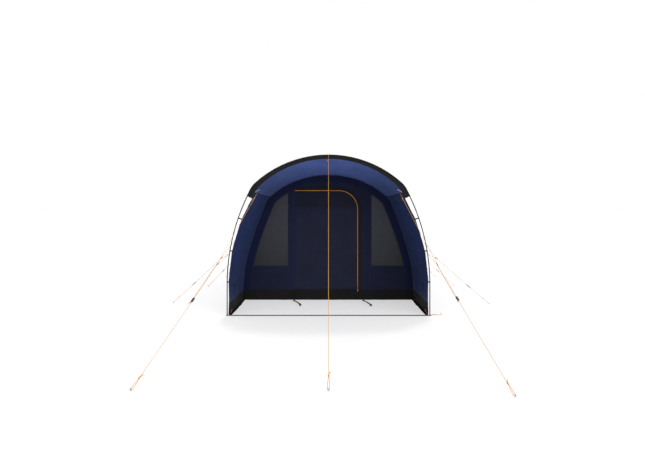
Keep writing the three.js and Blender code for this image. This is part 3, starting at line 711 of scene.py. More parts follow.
def ribbon(name, line, across, width, thickness=0.0014, rows=2):
    """A flat tape along line, a list of points; across gives its crosswise direction, the same
    all along or one for each point. Its UV map runs along it, with 0 at its middle."""
    ways = across if isinstance(across, list) else [Vector(across)] * len(line)

    def place(u, v):
        i = round(u * (len(line) - 1))
        return line[i] + ways[i].normalized() * ((v - 0.5) * width)

    return sheet(name, len(line) - 1, rows, place, (measure(line), width), thickness)


black_cloth = coated_cloth("black_coated_polyester", 0x171718, 0x101011, roughness=0.6)


def pole_sleeve(name, y, section, steps, node, pucker=0.0007):
    """A sleeve whose section, a list of (y, inset), is carried along its hoop."""
    arcs = spread(-SLEEVE_END, SLEEVE_END, steps)

    def place(u, v):
        arc = -SLEEVE_END + 2 * SLEEVE_END * u
        aside, inset = section(arc)[round(v * (len(section(0)) - 1))]
        point = on_hoop(y, arc, inset)
        ripple = noise.noise(Vector((arc * 26, inset * 40, y))) * pucker
        return point + Vector((0, aside + ripple, ripple))

    long = sum(measure([(0, *section(0)[i]), (0, *section(0)[i + 1])])
               for i in range(len(section(0)) - 1))
    sleeve = sheet(name, len(arcs) - 1, len(section(0)) - 1, place, (2 * SLEEVE_END, long),
                   0.0009)
    dress(sleeve, black_cloth, stands_for=[node])
    return sleeve


def web_section(arc):
    """The front sleeve: round the pole, then two layers sewn together as a broad web."""
    share = min(1, abs(arc) / SLEEVE_END)
    web = WEB_AT_CROWN + (WEB_AT_END - WEB_AT_CROWN) * share ** 2
    gap = 0.0009
    loop = [(SLEEVE_BORE * math.sin(a), -SLEEVE_BORE * math.cos(a) + 0.001)
            for a in (math.radians(d) for d in range(-135, 136, 18))]
    near = [(-gap, inset) for inset in (web, web * 0.7, 0.022, 0.014)]
    return near + loop + [(gap, inset) for _, inset in reversed(near)]


def flange_section(arc):
    """A sleeve on the fly: a flange, round over the pole, and the other flange."""
    loop = [(SLEEVE_BORE * math.sin(a), -SLEEVE_BORE * math.cos(a) + 0.0005)
            for a in (math.radians(d) for d in range(-112, 113, 16))]
    flat = [(-FLANGE, 0.0115), (-FLANGE * 0.7, 0.0115), (-0.0105, 0.0108)]
    return flat + loop + [(-y, inset) for y, inset in reversed(flat)]


pole_sleeve("front_pole_sleeve", FRONT_Y, web_section, 180, "front_sleeve")
for hoop in ("door", "middle", "rear"):
    pole_sleeve(f"{hoop}_pole_sleeve", STATIONS[hoop][0], flange_section, 160, f"{hoop}_sleeve")

# ---------------------------------------------------------------------------------------------
# Base strap and feet: flat black webbing keeps the front feet apart. Every pole stands on a
# steel pin and ring held by a webbing tab, and the front feet have orange webbing adjusters. At
# the right-hand one the orange tail runs out to its own peg.
# ---------------------------------------------------------------------------------------------
strap_low, strap_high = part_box("base_strap")
strap_line = [Vector((x, FRONT_Y + 0.0012 * math.sin(9 * x), 0.0019 + 0.0009 * math.sin(31 * x) ** 2))
              for x in spread(strap_low.x + 0.001, strap_high.x - 0.001, 160)]
black_webbing = stitched_tape("black_webbing", 0x161617, 0x2A2A2B, 0.04, rib=0.003)
orange_webbing = stitched_tape("orange_webbing", 0xD2741E, 0xECA045, 0.02, rib=0.003)
strap = ribbon("front_base_strap", strap_line, (0, 1, 0), strap_high.y - strap_low.y - 0.002,
               0.0016)
dress(strap, black_webbing, stands_for=["base_strap"])


def foot_fitting(name, x, y, colour, reach):
    """The tab, ring and pin that a pole foot stands on."""
    side = math.copysign(1, x)
    pin = tube(f"{name}_pin", [(x, y, z) for z in (0.002, 0.006, 0.02, 0.05, 0.052)], 0.0045,
               sides=12)
    dress(pin, zinc)
    dress(ring_of(f"{name}_ring", (x - side * 0.016, y, 0.006), (side * 0.2, 0, 1), 0.012,
                  0.0018), zinc)
    tab = [Vector((x - side * (0.012 + reach * t), y + 0.004, 0.004 + 0.075 * t ** 1.6))
           for t in spread(0, 1, 10)]
    dress(ribbon(f"{name}_tab", tab, (0, 1, 0), 0.02), colour)
    buckle = [Vector((x - side * (0.012 + reach * t), y + 0.004, 0.0065 + 0.075 * t ** 1.6))
              for t in spread(0.42, 0.62, 4)]
    dress(ribbon(f"{name}_ladder_buckle", buckle, (0, 1, 0), 0.026, 0.004), black_nylon)


for side, label in ((-1, "left"), (1, "right")):
    foot_fitting(f"front_{label}_foot", side * HALF_WIDTH, FRONT_Y + 0.004, orange_webbing,
                 0.05)
    for hoop in ("door", "middle", "rear"):
        y, half = STATIONS[hoop][:2]
        foot_fitting(f"{hoop}_{label}_foot", side * (half - 0.001), y, black_webbing,
                     -0.01)

tail_low, tail_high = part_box("foot_strap")
tail_y = (tail_low.y + tail_high.y) / 2
tail_line = [Vector((tail_low.x + (tail_high.x - tail_low.x - 0.004) * t,
                     tail_y + 0.002 * math.sin(5 * t), 0.0016 + 0.008 * math.sin(math.pi * t) ** 2))
             for t in spread(0, 1, 24)]
foot_tail = ribbon("right_foot_webbing_tail", tail_line, (0, 1, 0), 0.02)
dress(foot_tail, orange_webbing, stands_for=["foot_strap"])
peg_x = tail_high.x + 0.006
foot_peg = bent_peg("right_foot_peg", peg_x, FRONT_Y + 0.026, (1, 0))
dress(foot_peg, orange_nylon, stands_for=["foot_strap_peg"])

# ---------------------------------------------------------------------------------------------
# Porch roof and sides: blue coated polyester, cut so that the three panels pull smooth between
# the front sleeve and the door hoop. The panels meet in black taped seams at the shoulders, and
# the front edges of the sides are hemmed.
# ---------------------------------------------------------------------------------------------
SEAM_AT_FRONT, SEAM_AT_DOOR = 1.140, 1.030
SKIRT_TOP = 0.150
CLIP_HEIGHTS = (1.250, 0.830, 0.430)
INSET_AT_FOOT = 0.016
PORCH_FRONT = FRONT_Y + 0.011
PORCH_BACK = DOOR_Y - 0.001
BAY_SAG = {"porch": 0.008, "living": 0.016, "bedroom": 0.014, "tail": 0.010}
BAYS = (("porch", FRONT_Y, DOOR_Y), ("living", DOOR_Y, MIDDLE_Y),
        ("bedroom", MIDDLE_Y, REAR_Y), ("tail", REAR_Y, END_Y))


def paint_light_and_shade(material, part, low, high, ends):
    """Painted light and shade: scales a cloth's colour along X (from the middle out) or Z, from low
    to high, by ends.
    """
    shader = next(n for n in material.node_tree.nodes if n.type == "BSDF_PRINCIPLED")
    colour = shader.inputs["Base Color"].links[0].from_socket
    place = add_node(material, "ShaderNodeTexCoord").outputs["Object"]
    along = add_node(material, "ShaderNodeSeparateXYZ", in0=place).outputs[part]
    away = add_node(material, "ShaderNodeMath", {"operation": "ABSOLUTE"}, in0=along).outputs[0]
    share = add_node(material, "ShaderNodeMapRange", {"interpolation_type": "SMOOTHSTEP"},
                     in0=away, in1=low, in2=high, in3=ends[0], in4=ends[1]).outputs[0]
    shaded = add_node(material, "ShaderNodeVectorMath", {"operation": "SCALE"}, in0=colour,
                      Scale=share).outputs[0]
    material.node_tree.links.new(shaded, shader.inputs["Base Color"])


# The roof cloth is drawn a lighter blue than the sides: painted light, the light from above that
# shines through it.
roof_cloth_painted_light = coated_cloth("blue_roof_polyester", 0x4E63A2, 0x445690, roughness=0.6, sheen=0.04)
side_cloth = coated_cloth("navy_side_polyester", 0x1E2F5C, 0x18264C, roughness=0.6, sheen=0.03)
# Painted light and shade on the roof: its crown is painted lighter and its shoulders painted darker.
paint_light_and_shade(roof_cloth_painted_light, "X", 0.20, 0.95, (1.14, 0.58))
# Painted shade: the sides, tail and tail wall are painted darker towards the ground.
paint_light_and_shade(side_cloth, "Z", 0.1, 1.1, (0.78, 1.0))
seam_tape = stitched_tape("black_seam_tape", 0x121315, 0x26272B, 0.014)
hem_tape = stitched_tape("navy_hem", 0x1E2850, 0x313E70, 0.024)


def front_inset(arc):
    """How far inside the pole the porch cloth starts: it follows the sleeve's web, and below the
    sleeve it closes in on the pole."""
    share = min(1, abs(arc) / SLEEVE_END)
    web = WEB_AT_CROWN - 0.002 + (WEB_AT_END - WEB_AT_CROWN) * share ** 2
    past = min(1, max(0, abs(arc) - SLEEVE_END) / (FOOT - SLEEVE_END))
    return INSET_AT_FOOT + (web - INSET_AT_FOOT) * (1 - past) ** 3


def drape(y, arc):
    """How far the fly is pulled in from the straight line between two hoops, with its folds:
    a saddle between the hoops, slow waves, folds that run from hoop to hoop, and puckers."""
    for bay, start, stop in BAYS:
        if y <= stop or bay == "tail":
            break
    t = min(1, max(0, (y - start) / (stop - start)))
    span = 4 * t * (1 - t)
    low = min(1, max(0, (FOOT - abs(arc)) / 0.5))
    waves = noise.noise(Vector((arc * 1.3, y * 1.9, 3.1))) * 0.006
    folds = noise.noise(Vector((arc * 7, y * 0.8, 8.7))) * 0.0035
    near = min(y - start, stop - y)
    puckers = math.exp(-max(0, near) / 0.07) * min(1, max(0, near) / 0.012)
    puckers *= noise.noise(Vector((arc * 24, y * 3, 1.4))) * 0.003
    return span * (BAY_SAG[bay] * (0.4 + 0.6 * low) + waves + folds) + puckers


def cloth_point(y, arc, depth=0.0):
    """A point of the fly's cloth, or of something a depth inside it."""
    inset = station_at(y)[2]
    if y < DOOR_Y:
        t = (y - FRONT_Y) / (DOOR_Y - FRONT_Y)
        inset = front_inset(arc) * (1 - t) + FLY_INSET * t
    return on_hoop(y, arc, inset + depth + drape(y, arc))


def seam_arc(y):
    """Where the shoulder seam runs."""
    t = (y - FRONT_Y) / (DOOR_Y - FRONT_Y)
    return SEAM_AT_FRONT + (SEAM_AT_DOOR - SEAM_AT_FRONT) * t + 0.05 * t * (1 - t)


def panel(name, y0, y1, first, last, columns, rows, size, depth=0.0):
    """A panel of the fly between two arc lengths, each a function of y."""
    def place(u, v):
        y = y0 + (y1 - y0) * v
        return cloth_point(y, first(y) + (last(y) - first(y)) * u, depth)

    return sheet(name, columns, rows, place, size)


porch_long = PORCH_BACK - PORCH_FRONT
WEB_SEAM = FRONT_Y + 0.0018
porch_roof = panel("porch_roof_panel", WEB_SEAM, PORCH_BACK, lambda y: -seam_arc(y),
                   seam_arc, 200, 60, (2.19, 0.85))
dress(porch_roof, roof_cloth_painted_light, stands_for=["fly_porch_roof"])

grey_webbing = stitched_tape("grey_webbing", 0x6E7488, 0x8A90A2, 0.012)
for side, label in ((-1, "left"), (1, "right")):
    arcs = spread(1.135, 1.045, 12)
    tab = [on_hoop(FRONT_Y, side * arc, 0.070 + 0.03 * (i / 12)) + Vector((0, -0.0035, 0))
           for i, arc in enumerate(arcs)]
    dress(ribbon(f"{label}_shoulder_tab", tab, (0, 0.15, 1), 0.012), grey_webbing)

clip_arcs = [arc_at(FRONT_Y, z) for z in CLIP_HEIGHTS]


def front_edge(arc):
    """The front edge of a porch side, drawn back in a shallow scallop between its clips."""
    points = [SLEEVE_END, *clip_arcs, FOOT]
    nearest = min(abs(abs(arc) - point) for point in points)
    sewn = min(1, max(0, (SLEEVE_END + 0.02 - abs(arc)) / 0.03))
    return (PORCH_FRONT + 0.014 * (1 - math.exp(-(nearest / 0.11) ** 2)) * (1 - sewn)
            - (PORCH_FRONT - WEB_SEAM) * sewn)


def skirt_arc(y):
    """Where the skirt is sewn to the fly."""
    return arc_at(y, SKIRT_TOP, station_at(y)[2])


for side, label in ((-1, "left"), (1, "right")):

    def place_side(u, v, side=side):
        y = PORCH_FRONT + porch_long * v
        start, stop = seam_arc(y), skirt_arc(y)
        arc = start + (stop - start) * u
        y += (front_edge(arc) - PORCH_FRONT) * (1 - v) ** 3
        return cloth_point(y, side * arc)

    porch_side = sheet(f"porch_{label}_panel", 110, 56, place_side, (1.62, 0.84))
    dress(porch_side, side_cloth, stands_for=[f"fly_porch_{label}"])
    arcs = spread(SEAM_AT_FRONT + 0.004, FOOT - 0.01, 120)
    hem = [cloth_point(front_edge(arc) + 0.011, side * arc, 0.0) for arc in arcs]
    dress(ribbon(f"porch_{label}_hem", hem, (0, 1, 0), 0.024, 0.0028), hem_tape)
    seam = [cloth_point(y, side * (seam_arc(y) - 0.001), -0.0004)
            for y in spread(PORCH_FRONT + 0.002, PORCH_BACK - 0.002, 40)]
    crosswise = [cloth_point(p.y, side * (seam_arc(p.y) + 0.01)) - p for p in seam]
    dress(ribbon(f"porch_{label}_shoulder_seam", seam, crosswise, 0.015, 0.0034), seam_tape)

# ---------------------------------------------------------------------------------------------
# Pole clips: moulded black nylon hooks that snap over the front legs, on short webbing tabs sewn
# to the porch hem, three a side.
# ---------------------------------------------------------------------------------------------
CLIP_WIDTH = 0.018
for side, label in ((-1, "left"), (1, "right")):
    clips = []
    for i, arc in enumerate(clip_arcs):
        centre = on_hoop(FRONT_Y, side * arc)
        inward = (on_hoop(FRONT_Y, side * arc, 0.02) - centre).normalized()
        along = (on_hoop(FRONT_Y, side * (arc + 0.01)) - centre).normalized()
        hook = [centre + (inward * math.cos(a) + Vector((0, 1, 0)) * math.sin(a)) * 0.0086
                for a in (math.radians(d) for d in range(-130, 131, 13))]
        snap = ribbon(f"{label}_clip_hook_{i}", hook, along, CLIP_WIDTH, 0.0026)
        dress(snap, black_nylon)
        reach = front_inset(arc) + 0.014
        arm = [centre + inward * d + Vector((0, 0.0113 * (d - 0.0095) / (reach - 0.0095), 0))
               for d in spread(0.0095, reach, 8)]
        tab = ribbon(f"{label}_clip_tab_{i}", arm, along, 0.016, 0.0018)
        dress(tab, black_webbing)
        clips += [snap, tab]
    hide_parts(f"clip_tape_{label}")

# ---------------------------------------------------------------------------------------------
# Fly body and tail: one run of roof cloth from shoulder to shoulder, its lighter blue painted light
# that shines through it, with navy sides and a navy sloping tail, carried on over the hoops and sewn
# to their sleeves.
# ---------------------------------------------------------------------------------------------
BODY_SEAM = 1.030
BODY_START = DOOR_Y + 0.0015


def tail_seam(y):
    """The shoulder seam carries on along the body and runs down to the tail's corners."""
    return BODY_SEAM if y <= REAR_Y else BODY_SEAM * (1 - 0.25 * (y - REAR_Y) / (END_Y - REAR_Y))


def run_of_cloth(name, bays, first, last, columns, size, rows=70):
    """A panel over several bays, its rows gathered so that each hoop has one of its own."""
    stops = [b[1] for b in BAYS if b[0] in bays] + [[b[2] for b in BAYS if b[0] in bays][-1]]
    stops[0] = max(stops[0], BODY_START)
    each = rows // (len(stops) - 1)
    ys = [y for a, b in zip(stops, stops[1:]) for y in spread(a, b, each)[:-1]] + [stops[-1]]

    def place(u, v):
        y = ys[round(v * (len(ys) - 1))]
        return cloth_point(y, first(y) + (last(y) - first(y)) * u)

    return sheet(name, columns, len(ys) - 1, place, size)


body_roof = run_of_cloth("fly_body_roof", ("living", "bedroom"), lambda y: -tail_seam(y),
                         tail_seam, 150, (2.03, 2.13), rows=120)
dress(body_roof, roof_cloth_painted_light, stands_for=["fly_body"])
for side, label in ((-1, "left"), (1, "right")):
    body_side = run_of_cloth(f"fly_body_{label}", ("living", "bedroom"),
                             lambda y, side=side: side * tail_seam(y),
                             lambda y, side=side: side * skirt_arc(y), 90, (1.55, 2.13), rows=120)
    dress(body_side, side_cloth)
    seam = [cloth_point(y, side * tail_seam(y), -0.0004)
            for y in spread(BODY_START + 0.01, END_Y - 0.01, 150)]
    crosswise = [cloth_point(p.y, side * (tail_seam(p.y) + 0.01)) - p for p in seam]
    dress(ribbon(f"fly_{label}_shoulder_seam", seam, crosswise, 0.015, 0.0034), seam_tape)

tail = run_of_cloth("fly_tail", ("tail",), lambda y: -skirt_arc(y), skirt_arc, 220,
                    (4.6, 1.83), rows=90)
dress(tail, side_cloth, stands_for=["fly_end"])


def arch_outline(y, inset, base, steps=90):
    """The arched edge of a wall across the tent, from its right foot over to its left, (x, z)."""
    foot = arc_at(y, base, inset)
    points = [on_hoop(y, arc, inset) for arc in spread(foot, -foot, steps)]
    return [(p.x, p.z) for p in points]


def flat_cloth(name, outlines, y, cell, shift, thickness=0.0008):
    """Cloth cut to outlines in (x, z), the edge first and then its openings, standing across the
    tent at y. It is divided into cells so that shift(x, z) can draw its points out of the flat."""
    work = bmesh.new()
    edges = []
    for points in outlines:
        corners = [work.verts.new((x, 0, z)) for x, z in points]
        edges += [work.edges.new(pair) for pair in zip(corners, corners[1:] + corners[:1])]
    bmesh.ops.triangle_fill(work, edges=edges, use_beauty=True, normal=(0, -1, 0))
    low = [min(v.co[i] for v in work.verts) for i in (0, 2)]
    high = [max(v.co[i] for v in work.verts) for i in (0, 2)]
    for axis, normal in ((0, (1, 0, 0)), (1, (0, 0, 1))):
        count = math.ceil((high[axis] - low[axis]) / cell)
        for value in spread(low[axis], high[axis], count)[1:-1]:
            bmesh.ops.bisect_plane(work, geom=[*work.verts, *work.edges, *work.faces],
                                   plane_co=Vector(normal) * value, plane_no=normal)
    for face in work.faces:
        if face.normal.y > 0:
            face.normal_flip()
    layer = work.loops.layers.uv.new("UVMap")
    for face in work.faces:
        for corner in face.loops:
            corner[layer].uv = (corner.vert.co.x, corner.vert.co.z)
    for vert in work.verts:
        vert.co.y = y + shift(vert.co.x, vert.co.z)
    return thick_sheet(name, work, thickness)


def slack(x, z):
    """Slow waves and handling folds in a standing wall of cloth."""
    return (noise.noise(Vector((x * 1.7, z * 1.2, 5.3))) * 0.005
            + noise.noise(Vector((x * 6, z * 2.2, 2.2))) * 0.0018)


tail_wall = flat_cloth("fly_tail_wall", [arch_outline(END_Y, 0.0145, SKIRT_TOP)],
                       END_Y - 0.002, 0.05, lambda x, z: 0.4 * slack(x, z) - 0.002)
dress(tail_wall, side_cloth)

# ---------------------------------------------------------------------------------------------
# Skirts: a band of black coated cloth sewn round the foot of the fly. It drops to the ground and
# turns in under its own weight, a little slack between the pegged feet.
# ---------------------------------------------------------------------------------------------
TURN_IN = 0.035
skirt_cloth = coated_cloth("black_skirt_polyester", 0x141415, 0x0E0E0F, roughness=0.8, sheen=0.02)


def skirt_wave(run):
    """How the skirt's lower edge wanders in and out along its run."""
    return noise.noise(Vector((run * 4.3, 0.7, 9.1))) * 0.011 + noise.noise(
        Vector((run * 13, 2.7, 4.4))) * 0.004


for side, label in ((-1, "left"), (1, "right")):
    stops = [FRONT_Y + 0.022, DOOR_Y, MIDDLE_Y, REAR_Y, END_Y]
    ys = [y for a, b in zip(stops, stops[1:]) for y in spread(a, b, 60)[:-1]] + [END_Y]

    def place_skirt(u, v, side=side, ys=ys):
        y = ys[round(u * (len(ys) - 1))]
        top = cloth_point(y, side * (skirt_arc(y) - 0.012), -0.0012)
        drop = min(1, v / 0.8)
        turned = max(0, (v - 0.8) / 0.2)
        z = top.z * (1 - drop) + 0.0015
        foot_x = cloth_point(y, side * (FOOT - 0.001)).x
        x = top.x + (foot_x - top.x) * drop
        wave = skirt_wave(y) * drop * min(1, (y - stops[0]) / 0.1)
        return Vector((x - side * (TURN_IN * turned + abs(wave)), y, z + 0.0015 * (1 - turned)))

    skirt = sheet(f"{label}_skirt", len(ys) - 1, 15, place_skirt, (4.12, 0.2))
    dress(skirt, skirt_cloth, stands_for=[f"skirt_{label}"])

rear_half = cloth_point(END_Y, FOOT).x


def place_rear_skirt(u, v):
    x = rear_half * (2 * u - 1)
    drop, turned = min(1, v / 0.8), max(0, (v - 0.8) / 0.2)
    return Vector((x, END_Y + 0.0015 - abs(skirt_wave(x)) * drop - TURN_IN * turned,
                   (SKIRT_TOP + 0.012) * (1 - drop) + 0.0015 + 0.0015 * (1 - turned)))


rear_skirt = sheet("rear_skirt", 140, 15, place_rear_skirt, (2.27, 0.2))
dress(rear_skirt, skirt_cloth, stands_for=["skirt_rear"])

# ---------------------------------------------------------------------------------------------
# Front wall: navy coated polyester that closes the tent under the door hoop. A darker band runs
# along its arch, narrow flat-felled seams run down beside the doorway and under the windows, and
# a black skirt is sewn along its foot.
# ---------------------------------------------------------------------------------------------
WALL_Y = DOOR_Y + 0.0045
WALL_INSET = 0.020
DARK_BAND_WIDTH = 0.088
door_low, door_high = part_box("front_door")
DOOR_EDGE = 0.003
DOOR_LEFT, DOOR_RIGHT = door_low.x - DOOR_EDGE, door_high.x + DOOR_EDGE
DOOR_FOOT, DOOR_TOP = door_low.z - DOOR_EDGE, door_high.z + DOOR_EDGE
DOOR_CORNER = 0.275
WINDOW_SILL = 0.510
WINDOW_MARGIN = 0.105
WINDOW_EDGES = {"left": -0.602, "right": 0.638}


def door_outline(grow, left, right, foot, top, corner, steps=20):
    """A D-shaped doorway's edge, hinged on its straight left side, as points (x, z)."""
    arc = [(right - corner + (corner + grow) * math.cos(a), top - corner + (corner + grow)
            * math.sin(a)) for a in (math.pi / 2 * i / steps for i in range(steps + 1))]
    return [(left - grow, foot - grow), (right + grow, foot - grow), *arc,
            (left - grow, top + grow)]


def window_outline(edge, grow, steps=40):
    """A window's edge: straight beside the doorway and along the sill, arched like the wall."""
    side = math.copysign(1, edge)
    inset = WALL_INSET + WINDOW_MARGIN - grow
    inner, sill = edge - side * grow, WINDOW_SILL - grow
    low, high = 0.0, arc_at(WALL_Y, sill, inset)
    stop = high
    for _ in range(40):
        middle = (low + high) / 2
        short = on_hoop(WALL_Y, middle, inset).x < abs(inner)
        low, high = (middle, high) if short else (low, middle)
    arch = [on_hoop(WALL_Y, arc, inset) for arc in spread(high, stop, steps)]
    return [(inner, sill), *((side * p.x, p.z) for p in arch)]


def dense(points, step=0.03):
    """The same closed edge with points no further apart than step."""
    close = []
    for a, b in zip(points, points[1:] + points[:1]):
        count = max(1, math.ceil(math.dist(a, b) / step))
        close += [(a[0] + (b[0] - a[0]) * i / count, a[1] + (b[1] - a[1]) * i / count)
                  for i in range(count)]
    return close


DOORWAY = dict(left=DOOR_LEFT, right=DOOR_RIGHT, foot=DOOR_FOOT, top=DOOR_TOP,
               corner=DOOR_CORNER)
wall_cloth = coated_cloth("navy_wall_polyester", 0x131833, 0x0E1228, roughness=0.66, sheen=0.02)
# The darker band that runs along the wall's arch; the doorway's facing uses it too.
dark_band_cloth = coated_cloth("dark_binding_polyester", 0x0A1238, 0x080E2B, roughness=0.7,
                             sheen=0.02)
felled_seam = stitched_tape("navy_felled_seam", 0x121733, 0x1D2547, 0.03)


def wall_shift(x, z):
    """The front wall's folds, which die out at its sewn edges."""
    inside = min(1.0, max(0.0, (1.84 - z) / 0.2), max(0.0, (1.2 - abs(x)) / 0.15))
    return slack(x, z) * 0.7 * inside


wall_edge = arch_outline(WALL_Y, WALL_INSET, SKIRT_TOP + 0.0005, 120)
openings = [dense(door_outline(0, **DOORWAY))]
openings += [dense(window_outline(edge, 0)) for edge in WINDOW_EDGES.values()]
front_wall = flat_cloth("front_wall_cloth", [wall_edge, *openings], WALL_Y, 0.045, wall_shift)
dress(front_wall, wall_cloth, stands_for=["front_wall"])


def ways_across(line, closed=False):
    """The crosswise direction in the wall's plane at each point of a line that lies in it."""
    before, after = (line[-2], line[1]) if closed else (line[0], line[-1])
    pairs = zip([before, *line[:-1]], [*line[1:], after])
    return [Vector((b.z - a.z, 0, a.x - b.x)) for a, b in pairs]


def wall_strip(name, points, width, material, lift=0.0018, thickness=0.002, body="tent"):
    """A flat strip sewn on the front of the wall along points (x, z)."""
    line = [Vector((x, WALL_Y - lift + (wall_shift(x, z) if body == "tent" else 0), z))
            for x, z in points]
    strip = ribbon(name, line, ways_across(line), width, thickness)
    return dress(strip, material, body=body)


binding = arch_outline(WALL_Y, WALL_INSET + DARK_BAND_WIDTH / 2 + 0.002, SKIRT_TOP + 0.004, 160)
wall_strip("front_wall_binding", binding, DARK_BAND_WIDTH, dark_band_cloth)
for name, x, width in (("left_inner", -0.520, 0.030), ("left_outer", -0.585, 0.014),
                       ("right_inner", 0.545, 0.014), ("right_outer", 0.618, 0.020)):
    low, high = 0.0, arc_at(WALL_Y, 1.0, 0.11)
    for _ in range(40):
        middle = (low + high) / 2
        inside = on_hoop(WALL_Y, middle, WALL_INSET + DARK_BAND_WIDTH).x < abs(x)
        low, high = (middle, high) if inside else (low, middle)
    top = on_hoop(WALL_Y, high, WALL_INSET + DARK_BAND_WIDTH).z
    points = [(x, z) for z in spread(SKIRT_TOP + 0.003, top, 50)]
    wall_strip(f"wall_{name}_seam", points, width, felled_seam, thickness=0.0016)
for label, edge in WINDOW_EDGES.items():
    side = math.copysign(1, edge)
    reach = on_hoop(WALL_Y, arc_at(WALL_Y, 0.44, 0.11), WALL_INSET + DARK_BAND_WIDTH).x
    points = [(side * x, 0.440) for x in spread(abs(edge) - 0.06, reach, 24)]
    wall_strip(f"wall_{label}_cross_seam", points, 0.014, felled_seam,
               lift=0.0024, thickness=0.0016)

skirt_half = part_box("front_wall_skirt")[1].x - 0.002


def place_wall_skirt(u, v):
    x = skirt_half * (2 * u - 1)
    drop, turned = min(1, v / 0.82), max(0, (v - 0.82) / 0.18)
    out = abs(skirt_wave(x * 1.3)) * 0.8 * drop * (1 - abs(2 * u - 1) ** 8)
    return Vector((x, WALL_Y - 0.0012 - out + TURN_IN * turned,
                   (SKIRT_TOP + 0.006) * (1 - drop) + 0.002 + 0.001 * (1 - turned)))


wall_skirt = sheet("front_wall_foot_skirt", 150, 14, place_wall_skirt, (2.46, 0.19))
dress(wall_skirt, skirt_cloth, stands_for=["front_wall_skirt"])

# ---------------------------------------------------------------------------------------------
# Windows: smoke-grey PVC sheet behind a narrow stitched frame, its closed curtain showing as a
# soft mottle through the sheet.
# ---------------------------------------------------------------------------------------------
def smoked_sheet():
    """Tinted PVC: smooth and a little wavy, so its reflections wander; mottled grey inside."""
    material, shader = new_material("smoked_pvc", IOR=1.53, Specular_IOR_Level=0.22,
                                    Coat_Weight=0.1, Coat_Roughness=0.18)
    place = add_node(material, "ShaderNodeTexCoord").outputs["Object"]
    cloud = add_node(material, "ShaderNodeTexNoise", Vector=place, Scale=9, Detail=8,
                     Roughness=0.68)
    parts = add_node(material, "ShaderNodeSeparateXYZ", in0=place)
    rise = add_node(material, "ShaderNodeMapRange", in0=parts.outputs["Z"], in1=0.5, in2=1.1)
    low = add_node(material, "ShaderNodeMix", {"data_type": "RGBA"}, in0=cloud.outputs["Fac"],
                   in6=linear(0x101116), in7=linear(0x1D1F26)).outputs[2]
    high = add_node(material, "ShaderNodeMix", {"data_type": "RGBA"}, in0=cloud.outputs["Fac"],
                    in6=linear(0x1B1E26), in7=linear(0x2D313B)).outputs[2]
    colour = add_node(material, "ShaderNodeMix", {"data_type": "RGBA"}, in0=rise.outputs[0],
                      in6=low, in7=high).outputs[2]
    ripple = add_node(material, "ShaderNodeTexNoise", Vector=place, Scale=5, Detail=2)
    bump = add_node(material, "ShaderNodeBump", Height=ripple.outputs["Fac"], Strength=0.4,
                    Distance=0.01)
    gloss = add_node(material, "ShaderNodeMapRange", in0=cloud.outputs["Fac"], in3=0.28,
                     in4=0.5).outputs[0]
    material.node_tree.links.new(colour, shader.inputs["Base Color"])
    material.node_tree.links.new(gloss, shader.inputs["Roughness"])
    material.node_tree.links.new(bump.outputs[0], shader.inputs["Normal"])
    return material


smoked_pvc = smoked_sheet()
window_frame = stitched_tape("window_frame_tape", 0x101428, 0x1B2140, 0.016)
for label, edge in WINDOW_EDGES.items():
    pane = flat_cloth(f"{label}_window_pane", [dense(window_outline(edge, -0.001))], WALL_Y,
                      0.05, lambda x, z: wall_shift(x, z) + 0.0005, 0.0006)
    dress(pane, smoked_pvc, stands_for=[f"window_{label}"])
    rim = dense(window_outline(edge, 0.004), 0.02)
    line = [Vector((x, WALL_Y - 0.0016 + wall_shift(x, z), z)) for x, z in rim + rim[:1]]
    dress(ribbon(f"{label}_window_frame", line, ways_across(line, closed=True), 0.016, 0.0018),
          window_frame)

# ---------------------------------------------------------------------------------------------
# Front door: a D-shaped panel of the wall's cloth, sewn in along its left edge and closed by an
# orange coil zip over its top and down its right side, under a black rain flap.
# ---------------------------------------------------------------------------------------------
door_cloth = coated_cloth("navy_door_polyester", 0x181C34, 0x121629, roughness=0.64, sheen=0.02)
# Painted shade: the door's colour is darkened above its cross seam.
paint_light_and_shade(door_cloth, "Z", 1.34, 1.42, (1.0, 0.62))


def door_shift(x, z):
    """The door hangs from its zip: soft folds run down from its top corners."""
    middle = (DOOR_LEFT + DOOR_RIGHT) / 2
    edge = min(1, (x - DOOR_LEFT) / 0.08, (DOOR_RIGHT - x) / 0.08, (DOOR_TOP - z) / 0.08,
               (z - DOOR_FOOT) / 0.05)
    folds = noise.noise(Vector(((x - middle) * 5, z * 1.1, 6.6))) * 0.006
    return max(0, edge) * (folds + slack(x, z) * 0.5)


door_panel = flat_cloth("front_door_panel", [dense(door_outline(-0.003, **DOORWAY))], WALL_Y,
                        0.035, door_shift)
dress(door_panel, door_cloth, body="front_door", stands_for=["front_door"])
facing_edge = dense(door_outline(-0.004, **DOORWAY), 0.03)
facing = [Vector((x, WALL_Y + 0.0035, z)) for x, z in facing_edge + facing_edge[:1]]
dress(ribbon("doorway_facing", facing, ways_across(facing, closed=True), 0.034, 0.0012),
      dark_band_cloth)
arch_seam = [(DOOR_LEFT + 0.01 + (DOOR_RIGHT - DOOR_LEFT - 0.02) * t,
              1.335 + 0.05 * math.sin(math.pi * t)) for t in spread(0, 1, 40)]
line = [Vector((x, WALL_Y - 0.0016 + door_shift(x, z), z)) for x, z in arch_seam]
cross = ribbon("front_door_cross_seam", line, (0, 0, 1), 0.010, 0.0014)
dress(cross, felled_seam, body="front_door")


